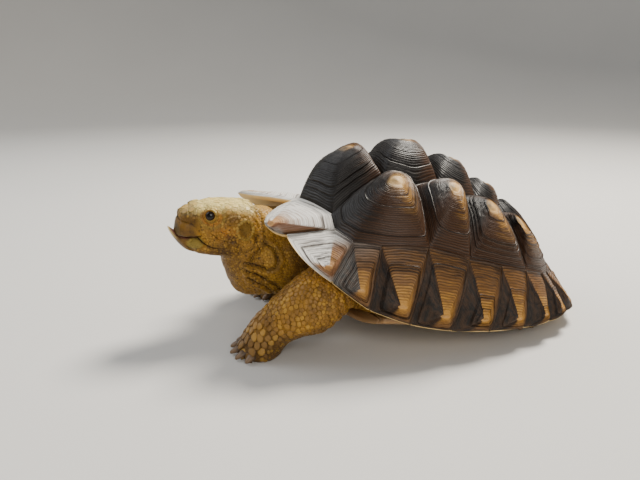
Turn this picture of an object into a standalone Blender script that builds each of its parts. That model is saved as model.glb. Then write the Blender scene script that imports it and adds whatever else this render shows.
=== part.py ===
"""Sulcata tortoise: shell of separate horny scutes over one body, with head, neck, legs and tail."""

import math

import bmesh
import bpy
import numpy as np
from mathutils import Vector

# Lengths are in millimetres; the builders turn them into metres.
MM = 0.001
NAME = "sulcata_tortoise"

# The shell is laid out level, then pitched nose-up, lifted and centred.
PITCH = math.radians(8.9)
LIFT = 29.0
CENTRE_Y = 36.54

# Horn thickness, and the clearances between touching solids.
HORN = 5.0
SHRINK = 0.16
BODY_CLEARANCE = 1.2
BELLY_CLEARANCE = 1.4
GAP = 0.3
DOME_RADIUS = 170.0
SEAM_STEPS = 2
RIM_STEPS = 3
RINGS = (0.0, 0.3, 0.66, 1.0)

# Where each marginal seam leaves the costals and the vertebrals (x, y, z, front to rear).
INNER_EDGE = (
    (0, -154, 103), (69, -128, 85), (98, -117, 80), (114, -91, 82), (127, -42, 87),
    (131, 8, 78), (129, 52, 72), (121, 92, 66), (107, 127, 60), (87, 149, 57),
    (64, 167, 57), (34, 181, 60), (0, 185, 62),
)
# Where the same seams reach the free rim, and how far each bows outward on the way.
RIM_EDGE = (
    (0, -163, 100), (78, -187, 77), (125, -145, 42), (141, -105, 19), (146, -58, 6),
    (149, -10, 1), (149, 40, 1), (146, 86, 5), (137, 128, 10), (119, 163, 16),
    (92, 192, 20), (48, 208, 20), (0, 213, 16),
)
SEAM_BOW = (0, 0, 2, 5, 6, 6, 6, 4, 0, -3, -4, -4, -3)
# How far the rim bulges between two seams, and the height of each marginal's growth boss.
RIM_BULGE = (0, 20, 3, 2, 2, 1, 1, 2, 4, 6, 5, 4)
MARGINAL_HEIGHT = (5, 6, 7, 8, 9, 9, 9, 9, 8, 7, 6, 6)
FRONT_HORN = (80, -212, 88)
# Where a marginal's growth point lies: down its seams, towards the rear one, or near the horn.
TIP_LOWNESS = 0.8
TIP_REARWARD = (0.85, 0.7)
HORN_SHARE = 0.82

# Corners of the vertebrals and costals, left side (the right side is mirrored).
CORNERS = {
    "front": (0, -154, 103),
    "shoulder": (55, -130, 98),
    "v12": (42, -70, 145), "c12": (54, -34, 140),
    "v23": (41, 3, 146), "c23": (52, 28, 133),
    "v34": (36, 63, 128), "c34": (42, 86, 116),
    "v45": (24, 112, 112),
    "mid12": (0, -70, 153), "mid23": (0, 3, 158),
    "mid34": (0, 64, 142), "mid45": (0, 113, 124),
}
VERTEBRALS = (
    ("front", "shoulder", "v12", "mid12"),
    ("mid12", "v12", "c12", "v23", "mid23"),
    ("mid23", "v23", "c23", "v34", "mid34"),
    ("mid34", "v34", "c34", "v45", "mid45"),
    ("mid45", "v45", 10, 11, 12),
)
COSTALS = (
    ("shoulder", "v12", "c12", 4, 3, 2, 1),
    ("c12", "v23", "c23", 5, 4),
    ("c23", "v34", "c34", 7, 6, 5),
    ("c34", "v45", 10, 9, 8, 7),
)
# Tip of each pyramid: the small flat patch the scute grew from.
VERTEBRAL_TIPS = ((0, -103, 170), (0, -31, 188), (0, 36, 173), (0, 92, 147), (0, 139, 119))
COSTAL_TIPS = ((89, -74, 150), (96, -7, 150), (90, 49, 132), (76, 103, 114))
AREOLA = 0.2
SWELL = {"vertebral": 2.5, "costal": 2.0, "marginal": 1.6}

# Plastron: bottom height, and scute seams from front to rear with the half width at each.
BELLY = -10.0
PLATE = 6.0
PLASTRON = {
    "gular": ((-172, 20), (-145, 34)),
    "humeral": ((-145, 34), (-106, 80)),
    "pectoral": ((-106, 80), (-84, 128)),
    "abdominal": ((-84, 128), (52, 140)),
    "femoral": ((52, 80), (110, 62)),
    "anal": ((110, 62), (165, 34)),
}

# The paired gulars and anals are fused; this is how deep the notch between their ends runs.
NOTCH = {"gular": 9.0, "anal": 16.0}

# Cranium and lower jaw sections: y, half width, top, bottom (already in the standing frame).
HEAD = (
    (-186, 22, 143, 115), (-197, 33, 156, 106), (-214, 36, 160, 110), (-230, 34, 161, 119),
    (-246, 30, 161, 124), (-260, 25, 160, 126), (-272, 20.5, 159, 127), (-280, 15, 155, 128.5),
)
JAW = (
    (-200, 26, 105.5, 95), (-214, 32, 109, 94), (-230, 31, 118, 95), (-246, 28, 121.5, 98),
    (-262, 22, 121.5, 102), (-275, 17, 122, 108), (-282, 13, 127.5, 114), (-289, 8, 132, 121),
)
EYE = (22.2, -243.4, 147.2)
EYE_RADIUS = 8.0
BEAK_BACK = -262.0
BEAK_TOP = 143.0
LOWER_BEAK_BACK = -266.0
TONGUE = (0.0, -263.0, 123.3)

# Neck and tail: section centre, half width, half height, lean.
NECK = (
    ((0, -228, 110), 24, 26, 100), ((0, -216, 106), 30, 40, 105), ((0, -202, 100), 37, 53, 108),
    ((0, -188, 94), 43, 55, 106), ((0, -172, 91), 48, 50, 100), ((0, -152, 92), 51, 46, 90),
    ((0, -128, 90), 54, 47, 90), ((0, -108, 90), 50, 46, 90),
)
TAIL = (
    ((0, 130, 54), 20, 17, -90), ((0, 156, 48), 18, 15, -80), ((0, 174, 39), 14, 12, -62),
    ((0, 185, 29), 9, 8, -42), ((0, 189, 20), 4, 4, -25),
)
# Legs: section centre, half width, half depth, lean forward of its plane in degrees.
LEGS = {
    "foreleg_left": (
        ((66, -86, 82), 30, 28, 64), ((86, -114, 79), 32, 32, 60), ((97, -140, 68), 33, 33, 56),
        ((96, -161, 52), 32, 33, 44), ((86, -181, 36), 29, 29, 26), ((77, -196, 19), 29, 26, 10),
        ((73, -203, 6), 31, 26, 0), ((73, -204, 0), 28, 23, 0),
    ),
    "foreleg_right": (
        ((-66, -86, 82), 30, 28, 52), ((-87, -106, 76), 32, 31, 42), ((-101, -122, 62), 32, 32, 32),
        ((-105, -134, 46), 30, 31, 20), ((-101, -141, 30), 29, 29, 8), ((-98, -145, 15), 31, 29, 2),
        ((-96, -147, 6), 33, 29, 0), ((-96, -148, 0), 30, 26, 0),
    ),
    "hindleg_left": (
        ((58, 90, 54), 27, 23, -40), ((76, 106, 50), 27, 24, -34), ((88, 119, 42), 25, 23, -22),
        ((91, 126, 30), 23, 22, -8), ((90, 128, 15), 24, 23, 0), ((89, 127, 5), 26, 25, 0),
        ((89, 126, 0), 23, 22, 0),
    ),
    "hindleg_right": (
        ((-58, 78, 56), 27, 22, -20), ((-80, 90, 52), 27, 23, -18), ((-96, 97, 42), 25, 23, -10),
        ((-100, 100, 29), 22, 22, -2), ((-99, 100, 15), 23, 23, 0), ((-98, 99, 5), 25, 25, 0),
        ((-98, 98, 0), 22, 22, 0),
    ),
}
# Claws: how many, their fan across the foot, length and root radius.
CLAWS = {
    "foreleg": (5, 116, 12, 5.6),
    "hindleg": (4, 104, 13, 6.0),
}

COLOURS = {
    "vertebral": (0.045, 0.036, 0.032, 0.38),
    "costal": (0.11, 0.055, 0.028, 0.40),
    "marginal": (0.17, 0.085, 0.035, 0.42),
    "plastron": (0.47, 0.31, 0.13, 0.50),
    "skin": (0.42, 0.26, 0.10, 0.70),
    "beak": (0.16, 0.08, 0.035, 0.42),
    "lower_beak": (0.55, 0.42, 0.18, 0.45),
    "mouth": (0.60, 0.27, 0.20, 0.45),
    "eye": (0.012, 0.009, 0.007, 0.10),
}


# ---------------------------------------------------------------- shell geometry
def outward(point):
    """Unit direction leading out of the shell at a point near it."""
    p = np.asarray(point, float)
    away = p - np.array((0.0, 0.6 * p[1], 0.0))
    return away / np.linalg.norm(away)


def stand(points):
    """From the level shell frame to the standing animal."""
    c, s = math.cos(PITCH), math.sin(PITCH)
    turn = np.array(((1, 0, 0), (0, c, s), (0, -s, c)))
    return np.asarray(points, float) @ turn.T + np.array((0.0, 0.0, LIFT))


def corner(key):
    return np.array(INNER_EDGE[key] if isinstance(key, int) else CORNERS[key], float)


def mirrored(points):
    return np.asarray(points, float)[::-1] * np.array((-1.0, 1.0, 1.0))


def arc(start, end, steps):
    """Points from start up to, but not including, end, bowed with the dome."""
    if tuple(end) < tuple(start):
        back = arc(end, start, steps)
        return np.vstack((start, back[:0:-1]))
    t = np.linspace(0, 1, steps + 1)[:-1, None]
    bow = np.linalg.norm(end - start) ** 2 / (8 * DOME_RADIUS)
    middle = outward((start + end) / 2)
    return start + (end - start) * t + middle * bow * 4 * t * (1 - t)


def seam(k, steps):
    """Marginal seam k from the costals down to the rim, without its last point."""
    start, end = corner(k), np.array(RIM_EDGE[k], float)
    t = np.linspace(0, 1, steps + 1)[:-1, None]
    side = outward((start + end) / 2)
    return start + (end - start) * t + side * SEAM_BOW[k] * 4 * t * (1 - t)


def rim(k, steps):
    """Free rim of marginal k from its rear seam to its front seam, without the last point."""
    start, end = np.array(RIM_EDGE[k], float), np.array(RIM_EDGE[k - 1], float)
    if k == 1:
        horn = np.array(FRONT_HORN, float)
        half = np.linspace(0, 1, steps + 1)[:-1, None]
        side = np.array((14.0, -6.0, -1.0))
        first = start + (horn - start) * half + side * 4 * half * (1 - half) * 0.5
        side = np.array((2.0, -9.0, 0.0))
        return np.vstack((first, horn + (end - horn) * half + side * 4 * half * (1 - half)))
    t = np.linspace(0, 1, steps + 1)[:-1, None]
    side = outward((start + end) / 2) * np.array((1.0, 1.0, 0.3))
    return start + (end - start) * t + side * RIM_BULGE[k - 1] * 4 * t * (1 - t)


def joined(keys, steps):
    pairs = zip(keys, keys[1:] + keys[:1])
    return np.vstack([arc(corner(a), corner(b), steps) for a, b in pairs])


def vertebral_outline(index, steps):
    keys = VERTEBRALS[index]
    left = np.vstack([arc(corner(a), corner(b), steps) for a, b in zip(keys, keys[1:])])
    whole = np.vstack((left, corner(keys[-1])))
    return np.vstack((whole, mirrored(whole)[1:-1]))


def costal_outline(index, steps):
    return joined(COSTALS[index], steps)


def marginal_outline(k, steps, rim_steps):
    if k == 1:
        top = np.vstack((arc(corner(0), corner("shoulder"), steps),
                         arc(corner("shoulder"), corner(1), steps)))
    else:
        top = arc(corner(k - 1), corner(k), steps)
    front = np.vstack((seam(k - 1, steps), RIM_EDGE[k - 1]))[:0:-1]
    return np.vstack((top, seam(k, steps), rim(k, rim_steps), front))


def supracaudal_outline(steps, rim_steps):
    side = np.vstack((arc(corner(12), corner(11), steps), seam(11, steps), RIM_EDGE[11],
                      rim(12, rim_steps)[::-1]))
    return np.vstack((side, mirrored(side)[1:-1]))


def marginal_tip(k):
    """Growth point of marginal k: low down and near its rear seam, raised off the seams."""
    if k == 12:
        base = low_on_seam(12, TIP_LOWNESS)
    elif k == 1:
        base = np.array(FRONT_HORN) * HORN_SHARE + low_on_seam(1, 0.5) * (1 - HORN_SHARE)
    else:
        rearward = TIP_REARWARD[min(k - 2, 1)]
        base = low_on_seam(k, TIP_LOWNESS) * rearward
        base = base + low_on_seam(k - 1, TIP_LOWNESS) * (1 - rearward)
    return base + outward(base) * MARGINAL_HEIGHT[k - 1]


def low_on_seam(k, lowness):
    """The point that share of the way down seam k, from the costals to the rim."""
    return corner(k) * (1 - lowness) + np.array(RIM_EDGE[k]) * lowness


def grow(outline, tip, rings, swell, height=None, areola=AREOLA):
    """Growth rings from the seam outline up to the flat patch at the tip, and its middle."""
    outline, tip = np.asarray(outline, float), np.asarray(tip, float)
    middle = outline.mean(0)
    axis = outward(middle if height is None else tip)
    if height is None:
        height = float((tip - middle) @ axis)
    centre = tip - axis * height
    patch = centre + (outline - centre) * areola
    layers = []
    for t in rings:
        rise = 1 - (1 - t) ** swell
        layers.append(outline * (1 - t) + patch * t + axis * height * rise)
    return layers, tip + axis * 0.04 * height


def drawn_in(outline, distance):
    """The outline pulled towards its own middle, so that neighbours keep a clearance."""
    away = outline - outline.mean(0)
    return outline - away / np.linalg.norm(away, axis=1)[:, None] * distance


def under(points, depth):
    return np.array([p - outward(p) * depth for p in points])


# ---------------------------------------------------------------- mesh helpers
def material(name):
    found = bpy.data.materials.get(name)
    if found:
        return found
    red, green, blue, rough = COLOURS[name]
    made = bpy.data.materials.new(name)
    made.use_nodes = True
    shader = made.node_tree.nodes["Principled BSDF"]
    shader.inputs["Base Color"].default_value = (red, green, blue, 1.0)
    shader.inputs["Roughness"].default_value = rough
    shader.inputs["Metallic"].default_value = 0.0
    return made


def own_material(obj, name):
    base = material(name)
    mine = base.copy()
    mine.name = obj.name + "_finish"
    obj.data.materials.append(mine)


def placed(name, bm, collection, kind=None):
    """Finishes a closed mesh and places it, with its origin at its own middle."""
    bmesh.ops.remove_doubles(bm, verts=bm.verts, dist=1e-6)
    bmesh.ops.recalc_face_normals(bm, faces=bm.faces)
    bmesh.ops.triangulate(bm, faces=bm.faces)
    middle = sum((v.co for v in bm.verts), Vector()) / len(bm.verts)
    bmesh.ops.translate(bm, vec=-middle, verts=bm.verts)
    mesh = bpy.data.meshes.new(name)
    bm.to_mesh(mesh)
    bm.free()
    mesh.shade_smooth()
    mesh.set_sharp_from_angle(angle=math.radians(35))
    obj = bpy.data.objects.new(name, mesh)
    obj.location = middle
    collection.objects.link(obj)
    if kind:
        own_material(obj, kind)
        obj.parent = bpy.data.objects[NAME + "_origin"]
    return obj


def ring(bm, points):
    shift = np.array((0.0, CENTRE_Y, 0.0))
    return [bm.verts.new(Vector((np.asarray(p) + shift) * MM)) for p in points]


def bridge(bm, first, second):
    n = len(first)
    for i in range(n):
        j = (i + 1) % n
        bm.faces.new((first[i], first[j], second[j], second[i]))


def fan(bm, loop, middle):
    centre = ring(bm, [middle])[0]
    for i, vert in enumerate(loop):
        bm.faces.new((vert, loop[(i + 1) % len(loop)], centre))


def loft(bm, sections):
    """Skin over closed sections, capped flat at both ends."""
    rings = [ring(bm, points) for points in sections]
    for first, second in zip(rings, rings[1:]):
        bridge(bm, first, second)
    fan(bm, rings[0], np.mean(sections[0], axis=0))
    fan(bm, rings[-1], np.mean(sections[-1], axis=0))


def helper(obj):
    """Marks an object as a cutter: drawn as wire and never rendered."""
    obj.display_type = "WIRE"
    obj.hide_render = True
    return obj


def boolean(obj, other, operation):
    modifier = obj.modifiers.new(operation.title(), "BOOLEAN")
    modifier.operation = operation
    modifier.solver = "EXACT"
    modifier.object = other
    return modifier


def swollen(obj, cutters, amount=0.5):
    """A slightly larger copy of a solid, used to cut its neighbours with a clearance."""
    copy = bpy.data.objects.new(obj.name + "_clearance", obj.data.copy())
    copy.location = obj.location
    cutters.objects.link(copy)
    grow_by = copy.modifiers.new("Clearance", "DISPLACE")
    grow_by.mid_level = 0.0
    grow_by.strength = amount * MM
    return helper(copy)


# ---------------------------------------------------------------- shell solids
def scute(name, outline, tip, height, collection, kind):
    edge = drawn_in(outline, SHRINK)
    layers, top = grow(edge, tip, RINGS, SWELL[kind], height)
    lower = under(edge, HORN)
    bm = bmesh.new()
    rings = [ring(bm, stand(points)) for points in [lower] + layers]
    for first, second in zip(rings, rings[1:]):
        bridge(bm, first, second)
    fan(bm, rings[-1], stand(top))
    fan(bm, rings[0], stand(lower.mean(0)))
    return placed(name, bm, collection, kind)


def pair(name, outline, tip, height, collection, kind):
    scute(name + "_left", outline, tip, height, collection, kind)
    other = np.array(tip, float) * np.array((-1, 1, 1))
    scute(name + "_right", mirrored(outline), other, height, collection, kind)


def carapace(collection):
    for i, tip in enumerate(VERTEBRAL_TIPS):
        outline = vertebral_outline(i, SEAM_STEPS)
        scute(f"vertebral_{i + 1}", outline, tip, None, collection, "vertebral")
    for i, tip in enumerate(COSTAL_TIPS):
        outline = costal_outline(i, SEAM_STEPS)
        pair(f"costal_{i + 1}", outline, tip, None, collection, "costal")
    for k in range(1, 12):
        outline = marginal_outline(k, SEAM_STEPS, RIM_STEPS)
        height = MARGINAL_HEIGHT[k - 1]
        pair(f"marginal_{k}", outline, marginal_tip(k), height, collection, "marginal")
    outline = supracaudal_outline(SEAM_STEPS, RIM_STEPS)
    scute("supracaudal", outline, marginal_tip(12), MARGINAL_HEIGHT[11], collection, "marginal")


def rim_half_width(y):
    """Half width of the shell's free rim at a station along its length."""
    rows = sorted((row[1], row[0]) for row in RIM_EDGE[2:9])
    return float(np.interp(y, [r[0] for r in rows], [r[1] for r in rows]))


def belly(x, y):
    """Underside of the plastron: flat keel, raised lobes and upturned bridges."""
    lobe = 0.05 * max(0.0, -110.0 - y) + 0.2 * max(0.0, y - 70.0)
    side = 15.0 * (max(0.0, abs(x) - 92.0) / 47.0) ** 2
    return BELLY + lobe + side


def plate_row(name, y, wide, side, end):
    """Points across one plastron scute at a station; end is -1 in front, 1 behind, 0 between."""
    across = (-1.0, -0.5, 0.0, 0.5, 1.0) if side == 0 else (0.0, 0.45, 0.75, 1.0)
    row = []
    for part in across:
        x = wide * part if side == 0 else side * max(0.3, wide * part)
        notch = (1 - abs(part)) * NOTCH.get(name, 0.0) if side == 0 else 0.0
        notch *= 1.0 if (end < 0) == (name == "gular") and end else 0.0
        there = y - end * (0.4 + notch)
        row.append((x, there, belly(x, there)))
    return row


def plastron_plate(name, front, rear, side, collection):
    (y0, w0), (y1, w1) = front, rear
    bridged = name.startswith("abdominal")
    steps = 5 if bridged else 3
    bm = bmesh.new()
    low, high = [], []
    for i, t in enumerate(np.linspace(0, 1, steps)):
        y = y0 + (y1 - y0) * t
        wide = rim_half_width(y) - 8.0 if bridged else w0 + (w1 - w0) * t
        row = plate_row(name, y, wide, side, -1 if i == 0 else 1 if i == steps - 1 else 0)
        low.append(ring(bm, stand(row)))
        high.append(ring(bm, stand([(x, yy, z + PLATE) for x, yy, z in row])))
    for sheet in (low, high):
        for a, b in zip(sheet, sheet[1:]):
            for i in range(len(a) - 1):
                bm.faces.new((a[i], a[i + 1], b[i + 1], b[i]))
    edges = [rows[0] + [r[-1] for r in rows[1:]] + rows[-1][-2::-1] + [r[0] for r in rows[-2:0:-1]]
             for rows in (low, high)]
    bridge(bm, *edges)
    placed(name, bm, collection, "plastron")


def plastron(collection):
    for name, (front, rear) in PLASTRON.items():
        if name in NOTCH:
            plastron_plate(name, front, rear, 0, collection)
            continue
        plastron_plate(name + "_left", front, rear, 1, collection)
        plastron_plate(name + "_right", front, rear, -1, collection)


# ---------------------------------------------------------------- body solids
def belt_point(u, depth):
    """A point of the marginal belt: u counts seams from the front, depth 0 inner to 1 rim."""
    k = min(int(u), 11)
    t = u - k
    start = corner(k) * (1 - t) + corner(k + 1) * t
    end = np.array(RIM_EDGE[k], float) * (1 - t) + np.array(RIM_EDGE[k + 1], float) * t
    return start * (1 - depth) + end * depth


def bridging(u):
    """1 where the plastron joins the carapace, falling to 0 at the leg openings."""
    rise = min(max((u - 2.6) / 1.0, 0.0), 1.0)
    fall = min(max((7.6 - u) / 1.0, 0.0), 1.0)
    return min(rise, fall)


def trunk_wall(u):
    """Two points of the body wall below the inner edge of the marginals."""
    b = bridging(u)
    middle = belt_point(u, 0.45 * b)
    middle = middle - outward(middle) * (8.0 + 3.0 * (1 - b))
    middle[2] = middle[2] if b > 0 else middle[2] - 16
    foot = belt_point(u, 0.7 * b)
    scale = 0.90 + 0.04 * b
    x, y = foot[0] * scale, foot[1] * scale
    return middle, np.array((x, y, belly(x, y) + PLATE + BELLY_CLEARANCE + 3.5))


def inner_loop():
    """Seam ring between the marginals and the rest, with each point's station."""
    points, stations = [], []
    for k in range(1, 13):
        if k == 1:
            keys = ((0.0, corner(0)), (0.8, corner("shoulder")), (1.0, corner(1)))
        else:
            keys = ((k - 1.0, corner(k - 1)), (float(k), corner(k)))
        for (u0, a), (u1, b) in zip(keys, keys[1:]):
            points.append(arc(a, b, SEAM_STEPS))
            stations += list(np.linspace(u0, u1, SEAM_STEPS + 1)[:-1])
    left = np.vstack(points + [corner(12)])
    stations.append(12.0)
    loop = np.vstack((left, mirrored(left)[1:-1]))
    return loop, stations + stations[-2:0:-1]


def trunk(collection):
    bm = bmesh.new()
    depth = HORN + BODY_CLEARANCE
    outlines = [vertebral_outline(i, SEAM_STEPS) for i in range(5)]
    for i in range(4):
        outlines += [costal_outline(i, SEAM_STEPS), mirrored(costal_outline(i, SEAM_STEPS))]
    for outline in outlines:
        low = under(outline, depth)
        fan(bm, ring(bm, stand(low)), stand(low.mean(0)))
    loop, stations = inner_loop()
    half = len(loop) // 2
    signs = [1.0 if i <= half else -1.0 for i in range(len(loop))]
    walls = [trunk_wall(u) for u in stations]
    flip = [np.array((s, 1.0, 1.0)) for s in signs]
    middle = np.array([w[0] * f for w, f in zip(walls, flip)])
    foot = np.array([w[1] * f for w, f in zip(walls, flip)])
    layers = [under(loop, depth), middle, foot]
    for scale in (0.82, 0.6):
        flat = foot[:, :2] * (scale, 0.5 + scale / 2)
        layers.append(np.array([(x, y, belly(x, y) + PLATE + BELLY_CLEARANCE) for x, y in flat]))
    rings = [ring(bm, stand(points)) for points in layers]
    for first, second in zip(rings, rings[1:]):
        bridge(bm, first, second)
    fan(bm, rings[-1], stand((0.0, 0.0, belly(0, 0) + PLATE + BELLY_CLEARANCE)))
    return placed("trunk", bm, collection, "skin")


def oval(centre, wide, deep, lean, count, power=1.0):
    """Points round a leaning oval section; power below 1 squares it off."""
    a = math.radians(lean)
    across, along = np.array((1.0, 0, 0)), np.array((0, math.cos(a), -math.sin(a)))
    points = []
    for i in range(count):
        c, s = math.cos(2 * math.pi * i / count), math.sin(2 * math.pi * i / count)
        c, s = math.copysign(abs(c) ** power, c), math.copysign(abs(s) ** power, s)
        points.append(np.array(centre, float) + across * wide * c + along * deep * s)
    return points


def limb(name, sections, count, collection, kind="skin"):
    bm = bmesh.new()
    loft(bm, [oval(c, a, b, lean, count) for c, a, b, lean in sections])
    return placed(name, bm, collection, kind)


def claw(name, root, yaw, length, radius, cutters):
    """A tapered claw lying forward and slightly down from its root."""
    bm = bmesh.new()
    bmesh.ops.create_cone(bm, cap_ends=True, segments=6, radius1=radius * MM,
                          radius2=radius * 0.22 * MM, depth=length * MM)
    a = math.radians(yaw)
    way = Vector((math.sin(a), -math.cos(a), -0.05)).normalized()
    turn = way.to_track_quat("Z", "Y").to_matrix().to_4x4()
    bmesh.ops.transform(bm, matrix=turn, verts=bm.verts)
    middle = (Vector(root) + Vector((0, CENTRE_Y, 0))) * MM + way * length * 0.5 * MM
    bmesh.ops.translate(bm, vec=middle, verts=bm.verts)
    return helper(placed(name, bm, cutters))


def leg(name, collection, cutters):
    sections = LEGS[name]
    obj = limb(name, sections, 12, collection)
    count, spread, length, radius = CLAWS[name.split("_")[0]]
    centre, wide, deep, _ = sections[-2]
    turn = 8 if name.startswith("hind") else 0
    for i in range(count):
        a = spread * (i / (count - 1) - 0.5) + turn * (1 if centre[0] > 0 else -1)
        r = math.radians(a)
        reach = 0.83
        root = (centre[0] + math.sin(r) * wide * reach, centre[1] - math.cos(r) * deep * reach,
                centre[2] + 1.0)
        boolean(obj, claw(f"{name}_claw_{i + 1}", root, a * 0.55, length, radius, cutters), "UNION")
    return obj


def slab(name, low, high, cutters):
    """A box between two corners, used to part one solid from another."""
    bm = bmesh.new()
    bmesh.ops.create_cube(bm, size=1.0)
    low, high = Vector(low) + Vector((0, CENTRE_Y, 0)), Vector(high) + Vector((0, CENTRE_Y, 0))
    bmesh.ops.scale(bm, vec=(high - low) * MM, verts=bm.verts)
    bmesh.ops.translate(bm, vec=(low + high) / 2 * MM, verts=bm.verts)
    return helper(placed(name, bm, cutters))


def ball(name, centre, radii, collection, kind=None, segments=14):
    bm = bmesh.new()
    bmesh.ops.create_uvsphere(bm, u_segments=segments, v_segments=segments // 2 + 1, radius=1.0)
    bmesh.ops.scale(bm, vec=Vector(radii) * MM, verts=bm.verts)
    bmesh.ops.translate(bm, vec=(Vector(centre) + Vector((0, CENTRE_Y, 0))) * MM, verts=bm.verts)
    return placed(name, bm, collection, kind)


def profile_solid(name, rows, collection, kind, power):
    """Head or jaw: rows of y, half width, top, bottom."""
    bm = bmesh.new()
    loft(bm, [oval((0, y, (top + low) / 2), wide, (top - low) / 2, 90, 14, power)
              for y, wide, top, low in rows])
    return placed(name, bm, collection, kind)


def split_front(obj, name, low, high, collection, cutters, kind):
    """Parts the front of a solid off as its own piece."""
    front = bpy.data.objects.new(name, obj.data.copy())
    front.data.materials.clear()
    front.location = obj.location
    front.parent = obj.parent
    collection.objects.link(front)
    own_material(front, kind)
    boolean(front, slab(name + "_keep", low, high, cutters), "INTERSECT")
    wider = (low[0], low[1], low[2]), (high[0], high[1] + GAP, high[2] + GAP)
    boolean(obj, slab(name + "_part", *wider, cutters), "DIFFERENCE")
    return front


def head(collection, cutters):
    skull = profile_solid("head", HEAD, collection, "skin", 0.66)
    jaw = profile_solid("lower_jaw", JAW, collection, "skin", 0.7)
    around = [swollen(skull, cutters), swollen(jaw, cutters)]
    for side, x in (("left", EYE[0]), ("right", -EYE[0])):
        centre = (x, EYE[1], EYE[2])
        ball(f"eye_{side}", centre, (EYE_RADIUS,) * 3, collection, "eye")
        socket = ball(f"socket_{side}", centre, (EYE_RADIUS + GAP,) * 3, cutters)
        boolean(skull, helper(socket), "DIFFERENCE")
    split_front(skull, "upper_beak", (-40, -300, 90), (40, BEAK_BACK, BEAK_TOP),
                collection, cutters, "beak")
    split_front(jaw, "lower_beak", (-40, -300, 111), (40, LOWER_BEAK_BACK, 150),
                collection, cutters, "lower_beak")
    ball("tongue", TONGUE, (7.0, 12.0, 1.6), collection, "mouth", 10)
    return around


def main():
    for obj in list(bpy.data.objects):
        bpy.data.objects.remove(obj)
    parts = bpy.data.collections.new(NAME)
    cutters = bpy.data.collections.new("cutters")
    cutters.hide_render = True
    for collection in (parts, cutters):
        bpy.context.scene.collection.children.link(collection)
    parts.objects.link(bpy.data.objects.new(NAME + "_origin", None))
    carapace(parts)
    plastron(parts)
    body = trunk(parts)
    body_room = swollen(body, cutters)
    around_head = head(parts, cutters)
    neck = limb("neck", NECK, 14, parts)
    plates = [bpy.data.objects[name] for name in ("gular", "humeral_left", "humeral_right")]
    for other in [body_room] + around_head + [swollen(plate, cutters, 1.0) for plate in plates]:
        boolean(neck, other, "DIFFERENCE")
    tail = limb("tail", TAIL, 10, parts)
    boolean(tail, body_room, "DIFFERENCE")
    for name in LEGS:
        obj = leg(name, parts, cutters)
        boolean(obj, body_room, "DIFFERENCE")


main()
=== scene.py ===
"""Sulcata tortoise: ridged horn scutes, one skin, scales, beak, eyes and claws on the frame."""

import math

import bmesh
import bpy
import numpy as np
from bpy.props import FloatProperty, FloatVectorProperty, PointerProperty
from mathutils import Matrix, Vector
from mathutils.kdtree import KDTree


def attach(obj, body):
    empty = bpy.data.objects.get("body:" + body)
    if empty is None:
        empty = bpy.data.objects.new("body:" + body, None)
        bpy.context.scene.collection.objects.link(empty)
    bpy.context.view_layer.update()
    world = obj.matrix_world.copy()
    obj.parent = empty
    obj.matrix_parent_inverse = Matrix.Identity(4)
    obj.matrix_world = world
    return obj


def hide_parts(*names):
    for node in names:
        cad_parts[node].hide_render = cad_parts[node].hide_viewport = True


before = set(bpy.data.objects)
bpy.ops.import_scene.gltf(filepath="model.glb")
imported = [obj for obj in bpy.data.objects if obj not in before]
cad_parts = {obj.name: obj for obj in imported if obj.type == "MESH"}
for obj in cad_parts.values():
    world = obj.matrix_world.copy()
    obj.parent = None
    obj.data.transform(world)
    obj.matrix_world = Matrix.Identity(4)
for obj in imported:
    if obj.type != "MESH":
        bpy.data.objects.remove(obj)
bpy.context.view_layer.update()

bl_info = {
    "name": "Sulcata tortoise",
    "version": (1, 0, 0),
    "blender": (4, 5, 0),
    "location": "3D View > Sidebar > Tortoise",
    "description": "Builds a standing sulcata tortoise with horn scutes, skin and scales",
    "category": "Object",
}

# Sizes here are in millimetres and become metres when a mesh is written.
MM = 0.001
# How far the shell is pitched nose up, lifted off the floor and moved back.
PITCH = math.radians(8.9)
LIFT = 29.0
CENTRE_Y = 36.54
TILT = np.array(((1, 0, 0), (0, math.cos(PITCH), math.sin(PITCH)),
                 (0, -math.sin(PITCH), math.cos(PITCH))))
# Thickness of the horn, and how far each scute stays inside its seams.
HORN = 5.0
SHRINK = 0.16
# Radius that the seams bow with, and points along each of them.
DOME_RADIUS = 170.0
STEPS = 24
# Size of the worn patch, how round it is, and how far corners are rounded on the way to it.
AREOLA = 0.13
TIP_ROUND = 0.8
CORNER_ROUND = 0.075
RIM_CORNER_ROUND = 0.03
SIDES = (("left", 1.0), ("right", -1.0))

# ------------------------ shell plan
# Seams of the marginal scutes, front to rear: inner end, rim end and outward bow.
INNER_EDGE = (
    (0, -154, 103), (69, -128, 85), (98, -117, 80), (114, -91, 82), (127, -42, 87),
    (131, 8, 78), (129, 52, 72), (121, 92, 66), (107, 127, 60), (87, 149, 57),
    (64, 167, 57), (34, 181, 60), (0, 185, 62),
)
RIM_EDGE = (
    (0, -163, 100), (78, -187, 77), (125, -145, 42), (141, -105, 19), (146, -58, 6),
    (149, -10, 1), (149, 40, 1), (146, 86, 5), (137, 128, 10), (119, 163, 16),
    (92, 192, 20), (48, 208, 20), (0, 213, 16),
)
SEAM_BOW = (0, 0, 2, 5, 6, 6, 6, 4, 0, -3, -4, -4, -3)
# How far the rim of each marginal bulges, and how high its growth point stands.
RIM_BULGE = (0, 20, 3, 2, 2, 1, 1, 2, 4, 6, 5, 4)
MARGINAL_HEIGHT = (5, 6, 7, 8, 9, 9, 9, 9, 8, 7, 6, 6)
# The pointed horn of the first marginal, and how its two edges bow.
FRONT_HORN = (80, -212, 88)
HORN_BOWS = ((7.0, -3.0, -0.5), (2.0, -9.0, 0.0))
# Where a marginal's growth point lies: down its seams, towards the rear one, or near the horn.
TIP_LOWNESS = 0.8
TIP_REARWARD = (0.85, 0.7)
HORN_SHARE = 0.82
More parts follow.
